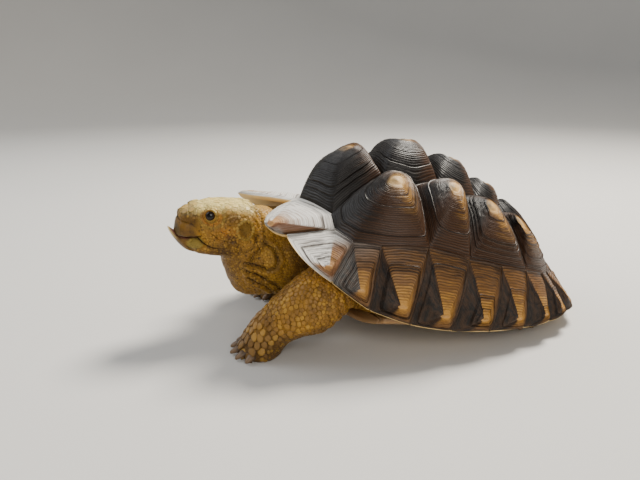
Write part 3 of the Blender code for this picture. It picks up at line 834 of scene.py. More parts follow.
def belt_point(u, depth):
    """A point of the marginal belt: u counts seams from the front, depth 0 inner to 1 rim."""
    k = min(int(u), 11)
    t = u - k
    start = corner(k) * (1 - t) + corner(k + 1) * t
    end = np.array(RIM_EDGE[k], float) * (1 - t) + np.array(RIM_EDGE[k + 1], float) * t
    return start * (1 - depth) + end * depth


def trunk_wall(u):
    """Two points of the body wall below the inner edge of the marginals."""
    bridge = np.clip(min(u - BRIDGE[0], BRIDGE[1] - u), 0, 1)
    middle = belt_point(u, 0.45 * bridge)
    middle = middle - outward(middle) * (9.0 + 3.0 * (1 - bridge))
    middle[2] -= 0 if bridge > 0 else 16
    foot = belt_point(u, 0.7 * bridge) * (0.90 + 0.04 * bridge)
    return middle, np.array((foot[0], foot[1], belly(foot[0], foot[1]) + PLATE + 5.5))


def dome_point(u, share, depth):
    """A point inside the shell: share runs from the keel to the marginals' inner edge."""
    inner = belt_point(u, 0.0)
    spine = np.array((0.0, inner[1] * 0.9, 0.0))
    spine[2] = np.interp(spine[1], SPINE_Y, SPINE_Z)
    bulge = 4 * share * (1 - share) * 12.0
    point = spine * (1 - share) + inner * share
    side = outward(point + (0, 0, 1e-3))
    return point + side * (bulge - depth)


def trunk_solid():
    """Core of the body: a bag that fills the shell and closes its leg and neck openings."""
    stations = np.linspace(0.0, 12.0, 49)
    rings = [[dome_point(u, share, 13.0) for u in stations] for share in (0.05, 0.35, 0.7)]
    rings.append([dome_point(u, 1.0, HORN + 2.5) for u in stations])
    middle, foot = zip(*(trunk_wall(u) for u in stations))
    foot = np.array(foot)
    rings += [middle, foot]
    for scale in (0.82, 0.45, 0.05):
        flat = foot[:, :2] * (scale, 0.5 + scale / 2)
        rings.append(np.column_stack((flat, belly(flat[:, 0], flat[:, 1]) + PLATE + 1.8)))
    points, faces = loft_solid([np.vstack((r, mirrored(r)[1:-1])) for r in rings])
    return stand(points) - SHIFT, faces


# ------------------------ skin
# Width of a voxel, where the finer head begins, and the share kept of the hidden skin.
VOXEL = 2.2
HEAD_LINE = -188.0
HIDDEN_KEEP = 0.45
SOLE_HEIGHT = 0.4


class Flesh:
    """A mesh being shaped: points in millimetres in the standing frame, and its edges."""

    def __init__(self, obj):
        self.obj = obj
        self.refresh()

    def refresh(self):
        mesh = self.obj.data
        self.points = read_values(mesh.vertices, "co", 3).astype(float) / MM
        self.edges = read_values(mesh.edges, "vertices", 2, np.int32)

    def store(self):
        coords = (self.points * MM).astype(np.float32).ravel()
        self.obj.data.vertices.foreach_set("co", coords)
        self.obj.data.update()

    def normals(self):
        self.store()
        return read_values(self.obj.data.vertex_normals, "vector", 3).astype(float)

    def relax(self, times, share=0.5, where=None):
        """Evens the surface out; soles stay flat on the floor."""
        a, b = self.edges.T
        ends, others, size = np.concatenate((a, b)), np.concatenate((b, a)), len(self.points)
        count = np.maximum(np.bincount(ends, minlength=size), 1)[:, None]
        sole = self.points[:, 2] < SOLE_HEIGHT
        part = share if where is None else share * where[:, None]
        for _ in range(times):
            total = np.stack([np.bincount(ends, column[others], size)
                              for column in self.points.T], 1)
            self.points += (total / count - self.points) * part
            self.points[sole, 2] = 0.0

    def push(self, amount, normals):
        self.points += normals * amount[:, None]

    def refine(self, where):
        """Halves the edges between marked points."""
        form = bmesh.new()
        form.from_mesh(self.obj.data)
        form.verts.ensure_lookup_table()
        edges = [e for e in form.edges if where[e.verts[0].index] and where[e.verts[1].index]]
        bmesh.ops.subdivide_edges(form, edges=edges, cuts=1, use_grid_fill=True)
        form.to_mesh(self.obj.data)
        form.free()
        self.refresh()


def out_of_sight(points):
    """1 for flesh that the shell wholly hides."""
    x, y, z = level(points).T
    dome = (z > 66) & (y > -112) & (y < 172)
    keel = (z < 4) & (np.abs(x) < 78) & (y > -118) & (y < 80)
    return (dome | keel).astype(float)


def flesh_form():
    """All flesh solids joined into one mesh, fine where it shows and coarse where it doesn't."""
    solids = [trunk_solid(), limb_solid(NECK, 56), limb_solid(TAIL)]
    solids += [profile_solid(SKULL, 0.70), profile_solid(CHEEK, 0.8), profile_solid(JAW, 0.72)]
    solids += [limb_solid(rows, 44) for rows in LEGS.values()]
    obj = write_mesh("tortoise_skin", *joined(solids))
    bake_modifier(obj, "REMESH", mode="VOXEL", voxel_size=VOXEL * MM, adaptivity=0.0)
    flesh = Flesh(obj)
    flesh.relax(6)
    flesh.store()
    hidden = obj.vertex_groups.new(name="hidden")
    chosen = np.nonzero(out_of_sight(flesh.points) > 0.5)[0]
    hidden.add([int(i) for i in chosen], 1.0, "REPLACE")
    bake_modifier(obj, "DECIMATE", ratio=HIDDEN_KEEP, vertex_group="hidden")
    obj.vertex_groups.clear()
    flesh.refresh()
    return flesh


def bake_modifier(obj, kind, **settings):
    """Applies one modifier to a mesh."""
    modifier = obj.modifiers.new(kind.lower(), kind)
    for key, value in settings.items():
        setattr(modifier, key, value)
    graph = bpy.context.evaluated_depsgraph_get()
    made = bpy.data.meshes.new_from_object(obj.evaluated_get(graph))
    old = obj.data
    obj.modifiers.clear()
    obj.data = made
    bpy.data.meshes.remove(old)
    made.shade_smooth()


# ------------------------ shaping the head
# Lines and plates on the side of the head: y and z of each point, in the standing frame.
MOUTH_LINE = ((-286, 127), (-276, 125.6), (-267, 124.6), (-259, 121.5), (-252, 115),
              (-243, 110.8), (-232, 110.2), (-223, 112.5))
LIP_FOLD = ((-249, 134), (-244, 127), (-237, 120.5), (-228, 117.5))
EAR_FOLD = ((-199, 159), (-192, 150), (-187, 136), (-187, 121), (-193, 107), (-204, 97))
JAW_FOLD = ((-216, 104), (-206, 106), (-198, 113), (-195, 123))
NECK_LOOP = ((-209, 92), (-195, 89), (-184, 84.5), (-177, 87), (-173.5, 96), (-177, 107),
             (-186, 115))
THROAT_FOLDS = (((-214, 84), (-196, 78), (-178, 66), (-165, 50)),
                ((-205, 74), (-188, 64), (-174, 50)))
# Ear and plates: y and z of the middle, half length, half height, and tilt in radians.
EAR = (-207.3, 130.6, 8.3, 10.2, 0.0)
JAW_PLATE = (-262.6, 116.6, 10.4, 7.0, 0.15)
TEMPLE_PLATE = (-220.0, 142.8, 9.0, 4.8, 0.15)
CHIN_PLATE = (-246.0, 106.0, 7.5, 4.2, 0.3)
NOSTRIL = (7.5, -278.5, 147.5)
BROW = (21.0, -242.0, 158.5)
SNOUT_BUMP = (8.0, -259.0, 160.0)
# Half the opening of the lids, in degrees round the gaze.
LID_OPENING = 41.0


def path_distance(points, path):
    """Distance from points to a path drawn on the side of the animal."""
    yz = points[:, 1:]
    best = np.full(len(yz), 1e9)
    path = np.asarray(path, float)
    for a, b in zip(path, path[1:]):
        t = np.clip((yz - a) @ (b - a) / ((b - a) @ (b - a)), 0, 1)[:, None]
        best = np.minimum(best, np.linalg.norm(yz - a - (b - a) * t, axis=1))
    return best


def bell(distance, width):
    return np.exp(-(distance / width) ** 2)


def paired_distance(points, spot):
    """Distance from points to the nearer of a spot and its mirror image."""
    return np.linalg.norm(np.abs(points[:, :1]) * (1, 0, 0) + points * (0, 1, 1) - spot, axis=1)


def plate(points, spec):
    """Distance from a plate's middle, 1 at its edge."""
    y, z, long, tall, tilt = spec
    c, s = math.cos(tilt), math.sin(tilt)
    dy, dz = points[:, 1] - y, points[:, 2] - z
    return np.hypot((dy * c + dz * s) / long, (dz * c - dy * s) / tall)


def eye_frame(points):
    """The nearer eye of points, their offset and distance, and degrees from its gaze."""
    side = np.sign(points[:, :1])
    side = np.hstack((side, np.ones_like(side), np.ones_like(side)))
    centre = side * EYE
    gaze = side * GAZE / np.linalg.norm(GAZE)
    away = points - centre
    far = np.linalg.norm(away, axis=1)
    angle = np.degrees(np.arccos(np.clip((away * gaze).sum(1) / np.maximum(far, 1e-6), -1, 1)))
    return centre, away, far, angle


def shape_head(flesh):
    """Mouth line, folds, plates, brows, snout, nostrils and slight lumps of the head."""
    p = flesh.points
    n = flesh.normals()
    flank = smoothstep(0.15, 0.5, np.abs(n[:, 0])) * smoothstep(4, 9, np.abs(p[:, 0]))
    front = smoothstep(-176, -190, p[:, 1])
    lift = np.zeros(len(p))
    mouth = path_distance(p, MOUTH_LINE)
    below = p[:, 2] < np.interp(p[:, 1], *np.array(MOUTH_LINE).T)
    lift -= 1.7 * bell(mouth, 1.0) * flank * (0.2 + 0.8 * smoothstep(-232, -252, p[:, 1]))
    lift += 0.7 * bell(mouth - 3.2, 2.0) * flank * (1 - below)
    lift += 0.4 * bell(mouth - 3.0, 1.8) * flank * below
    fold = path_distance(p, LIP_FOLD)
    lift += (0.6 * bell(fold - 2.0, 1.4) - 0.9 * bell(fold, 1.0)) * flank
    for path, depth, width in ((EAR_FOLD, 3.0, 2.6), (JAW_FOLD, 1.6, 1.7)):
        lift -= depth * bell(path_distance(p, path), width) * flank
    ear = plate(p, EAR)
    lift += (1.0 * bell(ear - 1.1, 0.15) - 1.3 * (1 - smoothstep(0.45, 1.0, ear))) * flank
    for spec, high in ((JAW_PLATE, 1.2), (TEMPLE_PLATE, 0.6), (CHIN_PLATE, 0.5)):
        far = plate(p, spec)
        lift += (high * (1 - smoothstep(0.75, 1.02, far)) - 0.5 * bell(far - 1.1, 0.10)) * flank
    lift += 1.8 * bell(paired_distance(p, BROW), 7.5)
    lift += 1.9 * bell(paired_distance(p, SNOUT_BUMP), 7.0)
    for y, depth in ((-266.5, 0.9), (-251.5, 0.5)):
        lift -= depth * bell(p[:, 1] - y, 1.6) * (n[:, 2] > 0.5)
    lift -= 0.5 * bell(p[:, 0], 1.2) * smoothstep(-248, -256, p[:, 1]) * (n[:, 2] > 0.3)
    hole = paired_distance(p, NOSTRIL)
    lift += 0.8 * bell(hole - 3.4, 1.2) - 2.6 * bell(hole, 1.5)
    lift += 0.35 * noise(p, 5.0, 3) * front + 0.5 * noise(p, 13.0, 4) * front
    flesh.push(lift * front, n)


def shape_eyes(flesh):
    """Lids: a skin dome over each eyeball with a round opening turned in at its edge."""
    centre, away, far, angle = eye_frame(flesh.points)
    near = smoothstep(21.0, 12.5, far) * smoothstep(110.0, 74.0, angle)
    radius = EYE_RADIUS + 1.0 + 0.75 * bell(angle - LID_OPENING - 7, 6.5)
    radius += -0.7 * bell(angle - 68, 5.0) + 0.8 * bell(angle - 80, 7.0)
    radius += 0.25 * np.cos(np.radians(angle) * 34) * smoothstep(50, 60, angle)
    inside = smoothstep(LID_OPENING + 2.0, LID_OPENING - 7.0, angle)
    radius = blend(radius, EYE_RADIUS - 3.0, inside)
    target = centre + away / np.maximum(far, 1e-6)[:, None] * radius[:, None]
    flesh.points = blend(flesh.points, target, near[:, None])


def wrinkles(along, gap, sharp=0.6):
    """Wrinkles that far apart, from -0.7 in a crease to 0.3 on a fold."""
    return np.abs(np.sin(along * math.pi / gap)) ** sharp - 0.7


def shape_neck(flesh):
    """Loose folds of the neck and throat, and wrinkles round the shoulders."""
    p = flesh.points
    n = flesh.normals()
    x, y, z = p.T
    neck = smoothstep(-128, -150, y)
    behind = smoothstep(-216, -204, y)
    middle = smoothstep(62, 52, np.abs(x)) * neck * behind * smoothstep(30, 40, z)
    flank = smoothstep(0.1, 0.5, np.abs(n[:, 0]))
    loop = path_distance(p, NECK_LOOP)
    lift = (2.4 * bell(loop - 3.6, 2.8) - 3.0 * bell(loop, 1.8)) * flank
    for path in THROAT_FOLDS:
        away = path_distance(p, path)
        lift += (2.6 * bell(away - 4.0, 3.2) - 2.6 * bell(away, 2.2)) * flank
    warp = y + 5 * noise(p, 17, 21) + 0.35 * (z - 90)
    lift += 1.5 * wrinkles(warp, 9.5) * (0.6 + 0.5 * noise(p, 22, 23))
    lift += 0.5 * wrinkles(warp + 3 * noise(p, 9, 24), 4.2, 0.7)
    flesh.push(lift * middle, n)


def shape_legs(flesh):
    """Creases where the forelegs meet the body and above the hind knees."""
    p = flesh.points
    n = flesh.normals()
    x, y, z = p.T
    front = smoothstep(-84, -104, y) * smoothstep(58, 70, np.abs(x)) * smoothstep(24, 40, z)
    front *= 0.5 + smoothstep(-158, -138, y)
    rear = smoothstep(60, 76, y) * smoothstep(12, 22, z)
    lift = 1.9 * wrinkles(0.6 * x + 5 * noise(p, 19, 31) + y, 9.0) * front
    lift = lift + wrinkles(z + 5 * noise(p, 15, 35), 9.0) * rear
    lift += 0.5 * noise(p, 11, 37) * smoothstep(1.0, 5.0, z)
    lift *= smoothstep(0.5, 6.0, z)
    flesh.push(lift, n)
    flesh.points[:, 2] = np.maximum(flesh.points[:, 2], 0.0)


def skin_form():
    """The whole skin, shaped, in the standing frame."""
    flesh = flesh_form()
    flesh.refine(flesh.points[:, 1] < HEAD_LINE)
    flesh.relax(5, 0.5, smoothstep(HEAD_LINE + 8, HEAD_LINE - 4, flesh.points[:, 1]))
    _, _, far, _ = eye_frame(flesh.points)
    near_mouth = path_distance(flesh.points, MOUTH_LINE) < 4.5
    flesh.refine(((far < 15) | near_mouth) & (flesh.points[:, 1] < -214))
    shape_neck(flesh)
    shape_legs(flesh)
    shape_head(flesh)
    shape_eyes(flesh)
    flesh.relax(1, 0.35)
    flesh.store()
    return flesh


FLESH_NODES = ("trunk", "neck", "head", "lower_jaw", "tail", *LEGS)


# ------------------------ markings
def markings(points, normals):
    """How much of each skin colour lies at points in the standing frame, with painted light among
    them: sunlight on the crown, shade under the jaw and in the neck folds, and the shell's shadow on
    the neck.
    """
    x, y, z = points.T
    head = smoothstep(-180, -196, y) * smoothstep(70, 60, np.abs(x))
    patchy = rough(points, 14, 51)
    fleck = rough(points, 4.5, 53)
    # Crown: pale scales on top of the head, partly their own cream colour and partly painted
    # sunlight on faces that look up.
    crown = head * smoothstep(0.15, 0.95, normals[:, 2] + 0.35 * patchy) * smoothstep(139, 156, z)
    crown *= 0.35 + 0.65 * smoothstep(-270, -252, y + 5 * fleck)
    flank = smoothstep(0.1, 0.4, np.abs(normals[:, 0]))
    mouth_gap = path_distance(points, MOUTH_LINE)
    snout = head * smoothstep(-254, -268, y + 4 * patchy) * smoothstep(158, 150, z)
    temple = 1 - smoothstep(0.5, 1.9, plate(points, TEMPLE_PLATE) + 0.5 * fleck)
    corner_dark = bell(np.hypot(y + 224, (z - 120) * 1.4), 8.5)
    corner_dark += bell(np.hypot((y + 233) / 1.4, (z - 108) * 1.5), 8.5)
    brow_dark = bell(np.hypot(y + 260, z - 154), 9.0) * (0.75 + 0.35 * fleck)
    # Painted shade under the lower jaw, laid into the brown marking.
    chin = smoothstep(110, 104, z) * smoothstep(-206, -224, y) * (0.8 + 0.4 * fleck)
    brown = np.clip(snout * 0.7 + chin * 0.75 + temple * 0.5 * flank + corner_dark * flank * 0.8
                    + brow_dark * flank, 0, 1) * head
    fading = 0.2 + 0.8 * smoothstep(-234, -252, y)
    dark = np.clip(0.8 * bell(mouth_gap, 1.2) * flank * fading
                   + 0.8 * corner_dark * smoothstep(-0.1, 0.4, fleck)
                   + snout * smoothstep(0.0, 0.5, fleck) * 0.5, 0, 1) * head
    beads = bell(np.hypot((y + 229) / 1.5, z - 127.5), 7.5) * flank * head
    beads *= smoothstep(-0.5, 0.3, fleck)
    eye_gap = np.hypot(y - EYE[1], z - EYE[2])
    orange = np.clip(beads + 0.65 * bell(eye_gap - 9.2, 2.2) * flank * head, 0, 1)
    ear_gap = plate(points, EAR)
    ear = (1 - smoothstep(0.45, 1.0, ear_gap)) * flank * head
    pale = (bell(eye_gap - 13.0, 2.0) + bell(eye_gap - 6.2, 1.3)) * 0.55
    pale += bell(ear_gap - 1.1, 0.16) * 0.7 + 1 - smoothstep(0.8, 1.0, plate(points, JAW_PLATE))
    pale = np.clip(pale, 0, 1) * flank * head
    # Painted shade along the neck, throat, ear and jaw folds.
    folds = sum(bell(path_distance(points, path), width) for path, width in (
        (NECK_LOOP, 3.6), (THROAT_FOLDS[0], 3.8), (THROAT_FOLDS[1], 3.8), (EAR_FOLD, 3.0),
        (JAW_FOLD, 2.6)))
    # Painted shadow of the shell on the side of the neck behind the head.
    shell_shadow_on_neck = smoothstep(-200, -174, y + 4 * patchy) * smoothstep(126, 112, z) * smoothstep(52, 74, z)
    fold = np.clip(0.5 * folds + 0.65 * shell_shadow_on_neck, 0, 1) * flank * smoothstep(64, 52, np.abs(x))
    fold *= smoothstep(-122, -140, y) * (0.9 + 0.5 * fleck)
    inside = smoothstep(-250, -258, y) * bell(z - 124.5, 6.5) * smoothstep(
        0.25, 0.6, np.abs(normals[:, 2])) * (np.abs(x) < 14) * (z < 133) * (z > 112)
    throat = smoothstep(-150, -165, y) * (1 - crown) * smoothstep(60, 52, np.abs(x))
    foot = smoothstep(46, 12, z + 10 * patchy) * (1 - head)
    rear = smoothstep(0, 60, y) * smoothstep(60, 30, z) * 0.3
    return {"crown": crown, "brown": brown, "dark": dark, "orange": orange,
            "ear": ear, "pale": pale, "inside": inside, "throat": throat * (1 - 0.7 * head),
            "foot": np.clip(foot + rear, 0, 1), "patchy": patchy, "fold": fold,
            "speckled": head * flank * smoothstep(152, 134, z) * (1 - ear) * (1 - pale)}


# Layers of skin colour, each over the ones before: its marking, its colour and its share. The fold,
# brown and crown layers carry painted shade and painted sunlight.
SKIN_LAYERS = (
    ("foot", "skin_foot", 0.85), ("fold", "skin_crease_shade", 0.7), ("orange", "skin_orange", 0.85),
    ("brown", "skin_brown", 0.9), ("pale", "skin_pale", 0.8), ("ear", "skin_ear", 0.55),
    ("crown", "skin_crown_pale_and_sunlit", 0.95), ("dark", "skin_dark", 0.9), ("inside", "mouth_pink", 0.95),
)


def marked_colour(look):
    """Skin colour from the markings, the same on the skin and on its scales."""
    patchy, throat, speckled = look.attributes("patchy throat speckled")
    mottle = look.noise(70.0, 4.0)
    base = look.mix((mottle * 1.4 - 0.2 + patchy * 0.3).clamp(), "skin_umber", "skin_ochre")
    base = look.mix(throat, base, look.mix(mottle, "skin_ochre", "skin_gold"))
    for name, tint, share in SKIN_LAYERS:
        base = look.mix((look.attribute(name) * share).clamp(), base, tint)
    freckles = look.noise(300.0, 4.0).between(0.54, 0.66) * (speckled * 0.55 + 0.22)
    return look.mix(freckles, base, "skin_dark")


def skin_look(look):
    """Marked skin with painted shade in its creases and between small cells, over small cells and
    wrinkles.
    """
    base = marked_colour(look)
    # Painted shade in the creases, by how deep each point lies in a fold.
    base = look.mix((look.attribute("crease") * 0.9).clamp(), base, "skin_crease_shade")
    cells, edges = look.cells(620.0), look.cells(620.0, "DISTANCE_TO_EDGE")
    # Painted shade in the grooves between the small cells.
    base = look.mix(edges.between(0.10, 0.0) * 0.28, base, "skin_crease_shade")
    wrinkled = look.noise(240.0, 5.0, 0.6)
    height = edges.between(0.0, 0.25) * 0.7 + wrinkled * 0.6 - cells * 0.2
    return look.surface(Base_Color=base, Roughness=0.50 + wrinkled * 0.2,
                        Normal=look.bump(height, 0.0009, 0.8))


def creases(flesh, normals):
    """How deep each point lies in a fold, 0 to 1, for the painted shade in the creases."""
    a, b = flesh.edges.T
    count = np.maximum(np.bincount(np.concatenate((a, b)), minlength=len(flesh.points)), 1)
    way = unit(flesh.points[b] - flesh.points[a])
    hollow = np.bincount(a, (way * normals[a]).sum(1), len(count))
    hollow -= np.bincount(b, (way * normals[b]).sum(1), len(count))
    hollow /= count
    for _ in range(2):
        spread = np.bincount(a, hollow[b], len(hollow)) + np.bincount(b, hollow[a], len(hollow))
        hollow = 0.5 * hollow + 0.5 * spread / count
    return np.clip(hollow * 5.0, 0, 1)


# ------------------------ beak, eyes, tongue, claws
BEAK_COLUMNS = 72
# Lowest height of a claw.
CLAW_LIFT = 0.15
# Rows of the upper beak: how far down, and how far it stands out.
UPPER_ROWS = (
    (0.0, -1.2), (0.08, -0.2), (0.18, 0.35), (0.30, 0.65), (0.42, 0.85), (0.55, 0.95), (0.7, 1.0),
    (0.84, 0.9), (0.94, 0.6), (1.0, -0.2), (0.97, -1.3), (0.85, -2.6), (0.68, -4.0),
)
# The same for the lower beak, from its rim down: outside first, then the lining.
LOWER_OUTSIDE = ((1.0, -2.4), (0.94, -0.5), (0.8, 0.4), (0.6, 1.1), (0.4, 1.4), (0.22, 1.2),
                 (0.10, 0.8), (0.03, 0.3), (0.0, -0.4))
LOWER_LINING = ((0.04, -1.3), (0.15, -2.3), (0.32, -3.4))


def sheath(node, slot_name, rows, depths, angles, across, forward):
    """A closed horn sheath from open rows of points, marked like the skin beside it."""
    count, total = len(angles), len(rows)
    i, faces = np.arange(count - 1), []
    for j in range(total):
        a, b = j * count + i, (j + 1) % total * count + i
        faces.append(np.stack((a, a + 1, b + 1, b), 1))
    ends = np.arange(total) * count
    faces += [ends[None], (ends + count - 1)[None, ::-1]]
    facing = unit(np.stack((across, -forward, np.zeros_like(across)), -1))
    points = np.concatenate(rows)
    values = {"edge": np.repeat(depths, count), "front": np.tile(np.cos(angles), total)}
    values |= markings(points, np.tile(facing, (total, 1)))
    material = finish(slot_name, beak_look, slot_name == "beak", IOR=1.45,
                      Specular_IOR_Level=0.3)
    obj = write_mesh(node + "_horn", points + SHIFT, faces, values, material=material)
    return finish_piece(obj, slot_name, node)


def upper_beak():
    """Blunt beak round the front of the snout, with a thin cutting edge."""
    a = np.radians(np.linspace(-104, 104, BEAK_COLUMNS))
    across = np.sign(np.sin(a)) * np.abs(np.sin(a)) ** 0.85
    forward = np.sign(np.cos(a)) * np.abs(np.cos(a)) ** 0.62
    low = np.interp(forward, (-0.6, 0.0, 0.7, 1.0), (124.6, 125.0, 125.4, 125.4))
    low = low - 1.2 * bell(across, 0.16) + 0.35 * np.abs(np.sin(a * 16))
    top = 139.0 + 5.0 * np.clip(forward, 0, 1) + 0.6 * np.sin(a * 5)
    flush = smoothstep(104, 76, np.degrees(np.abs(a)))
    rows = []
    for s, proud in UPPER_ROWS:
        z = top + (low - top) * s
        out = proud * flush - 1.6 * (1 - flush)
        front = -279.6 - 3.4 * np.clip((146 - z) / 20, 0, 1.1)
        wide = 22.6 - 1.8 * np.clip((z - 134) / 12, 0, 1)
        x = (wide + out) * across
        y = -263.0 - (-263.0 - front + out) * forward
        ripple = 0.25 * noise(np.stack((x * 3, y * 3, z * 0.4), -1), 5.0, 71) * (s > 0.05)
        rows.append(np.stack((x + ripple * across, y - ripple * forward, z), -1))
    sheath("upper_beak", "beak", rows, [s for s, _ in UPPER_ROWS], a, across, forward)


def lower_beak():
    """Scoop of the lower jaw: pale rim turned up in front, darker towards the chin."""
    a = np.radians(np.linspace(-96, 96, BEAK_COLUMNS))
    across, forward = np.sin(a), np.clip(np.cos(a), 0, 1)
    rim_line = np.stack((20.0 * across * (1 - 0.45 * forward ** 2) ** 0.5,
                         -265.0 - 25.5 * forward ** 0.75, 121.6 + 11.6 * forward ** 2.6), -1)
    rim_line[:, 2] += 0.3 * np.abs(np.sin(a * 14))
    chin = np.stack((15.5 * across, -264.0 - 12.0 * forward, 104.0 + 4.0 * forward), -1)
    away = unit(np.stack((across, -forward * 1.1, np.full_like(a, -0.35)), -1))
    flush = smoothstep(96, 66, np.degrees(np.abs(a)))
    stations = (LOWER_OUTSIDE + LOWER_LINING)[::-1]
    rows = [rim_line + (chin - rim_line) * s
            + away * (out * flush - 1.8 * (1 - flush))[:, None] for s, out in stations]
    depths = [-s for s, _ in LOWER_LINING[::-1]] + [s for s, _ in LOWER_OUTSIDE[::-1]]
    sheath("lower_beak", "lower_beak", rows, depths, a, across, forward)


def beak_look(look, upper):
    """Dark streaked horn that blends into the skin beside it and has a pale rim."""
    edge, front = look.attributes("edge front")
    streak = look.noise(220.0, 4.0)
    base = look.mix(streak.between(*((0.30, 0.62) if upper else (0.35, 0.7))), "beak_dark",
                    "beak_brown")
    sides = (front + (streak - 0.5) * 0.5).between(0.9, 0.35)
    if upper:
        blend = (sides + edge.between(0.5, 0.1)).clamp() * (0.75 + streak * 0.4)
        base = look.mix(blend.clamp(), base, marked_colour(look))
        base = look.mix(edge.between(0.93, 1.0) * 0.3, base, "beak_rim")
    else:
        pale = edge.between(0.42, 0.0) * front.between(0.45, 0.95)
        base = look.mix(sides * (0.7 + streak * 0.5), base, marked_colour(look))
        base = look.mix(pale, base, "beak_rim")
        base = look.mix(streak.between(0.5, 0.8) * edge.between(0.1, 0.4), base, "beak_brown")
        base = look.mix(edge.between(-0.02, -0.14), base, "mouth_pink")
    return look.surface(Base_Color=base, Roughness=0.34 + streak * 0.25,
                        Normal=look.bump(streak, 0.0008, 0.6))


def eyeball(side, sign):
    """Eyeball with a low cornea, turned the way the animal looks."""
    gaze = unit(np.array(GAZE) * (sign, 1, 1))
    across = unit(np.cross(gaze, (0.0, 0.0, 1.0)))
    above = np.cross(across, gaze)
    angles = np.radians(np.concatenate((np.linspace(1.5, 60, 24), np.linspace(66, 178, 15))))
    turn = circle(48)
    bulge = EYE_RADIUS + 0.55 * (1 - smoothstep(18, 46, np.degrees(angles)))
    ring = np.cos(turn)[:, None] * across + np.sin(turn)[:, None] * above
    rows = (np.cos(angles)[:, None, None] * gaze + np.sin(angles)[:, None, None] * ring)
    rows = rows * bulge[:, None, None] + np.array(EYE) * (sign, 1, 1)
    count = len(turn)
    i = np.arange(count)
    last = (len(rows) - 1) * count + (i + 1) % count
    faces = [band_faces(len(rows), count)[:, ::-1], i[None], last[None, ::-1]]
    obj = write_mesh(f"eye_{side}_ball", rows.reshape(-1, 3) + SHIFT, faces,
                     {"gaze": np.repeat(np.degrees(angles), count)},
                     material=finish("eye", eye_look, Roughness=0.06, IOR=1.38))
    finish_piece(obj, "eye", f"eye_{side}")


def eye_look(look):
    """Black pupil, dark streaked iris and a darker rim, by degrees from the gaze."""
    gaze = look.attribute("gaze")
    iris = look.mix(look.noise(800.0, 3.0), "iris_dark", "iris_brown")
    base = look.mix(gaze.between(21.0, 23.5), (0.001, 0.001, 0.001), iris)
    return look.surface(Base_Color=look.mix(gaze.between(40.0, 46.0), base, "eye_rim"))


def tongue():
    """Tongue lying in the scoop of the lower beak."""
    t = np.linspace(0.04, 0.96, 22)
    turn = circle(28)
    wide = 8.4 * np.sin(np.pi * t) ** 0.55
    tall = 2.6 * np.sin(np.pi * t) ** 0.6
    y = -247.0 - 34.0 * t
    z = 119.5 + 5.5 * t ** 2
    x = wide[:, None] * np.cos(turn)
    dip = 0.7 * bell(x, 1.2) * (np.sin(turn) > 0)
    rows = np.stack((x, np.broadcast_to(y[:, None], x.shape),
                     z[:, None] + tall[:, None] * np.sin(turn) - dip), -1)
    rows[..., 2] += 0.25 * noise(rows, 2.2, 61)
    points, faces = loft_solid(rows)
    material = finish("tongue", tongue_look, Roughness=0.32, IOR=1.4)
    finish_piece(write_mesh("tongue_flesh", points + SHIFT, faces, material=material),
                 "mouth", "tongue")


def tongue_look(look):
    """Wet pink flesh with fine bumps."""
    bumps = look.noise(700.0, 3.0)
    return look.surface(Base_Color=look.mix(bumps, "mouth_pink", "tongue_pale"),
                        Normal=look.bump(bumps, 0.0006, 0.6))


def claws(leg):
    """The claws of one foot, in one piece: thick, curved and worn blunt."""
    count, spread, turn, reach, radius = CLAWS[leg.split("_")[0]]
    centre, wide, deep, _ = LEGS[leg][-2]
    t = np.linspace(-0.25, 1.0, 18)
    body = radius * (1 - 0.66 * np.clip(t, 0, 1) ** 1.5)
    body *= np.sqrt(np.clip((1.04 - t) / 0.10, 0, 1))
    angles = circle(20)
    solids = []
    for i in range(count):
        r = math.radians(spread * (i / (count - 1) - 0.5) + turn * np.sign(centre[0]))
        root = np.array((centre[0] + math.sin(r) * wide * 0.83,
                         centre[1] - math.cos(r) * deep * 0.83, centre[2] + 1.0))
        way = np.array((math.sin(r * 0.55), -math.cos(r * 0.55), 0.0))
        across = np.array((-way[1], way[0], 0.0))
        path = root + way * (t * reach * 1.02)[:, None]
        path[:, 2] -= 3.6 * np.clip(t, 0, 1) ** 1.8
        ring = np.cos(angles)[:, None] * across + np.sin(angles)[:, None] * (0, 0, 0.82)
        rows = path[:, None] + ring * body[:, None, None]
        rows = rows + 0.16 * noise(rows * 2.2, 3.0, 80 + i)[..., None] * ring
        rows[..., 2] = np.maximum(rows[..., 2], CLAW_LIFT)
        solids.append(loft_solid(rows))
    points, faces = joined(solids)
    tipward = np.concatenate((np.repeat(t, len(angles)), (t[0], t[-1])))
    obj = write_mesh(leg + "_claws", points + SHIFT, faces, {"tipward": np.tile(tipward, count)},
                     material=finish("claw", claw_look, IOR=1.5))
    finish_piece(obj, None)


def claw_look(look):
    """Dark streaked horn, paler at the worn tip."""
    streak = look.noise(260.0, 4.0)
    tipward = look.attribute("tipward") + (streak - 0.5) * 0.4
    return look.surface(Base_Color=look.mix(tipward.between(0.1, 0.8), "claw_root", "claw_tip"),
                        Roughness=0.38 + streak * 0.2, Normal=look.bump(streak, 0.0007, 0.6))


# ------------------------ scales
# How much of its own room a scale fills, the size of its unwrap patch, and its lowest height.
SCALE_FILL = 0.93
SCALE_PATCH = 0.0015
FLOOR_GAP = 0.2
# How many neighbours give a scale its outline.
NEAR_SCALES = 10
# Rings of a scale: size, height and lean.
SCALE_RINGS = ((1.0, -0.9, 0.2), (0.97, 0.25, 0.6), (0.80, 0.80, 1.0), (0.45, 1.0, 0.6))


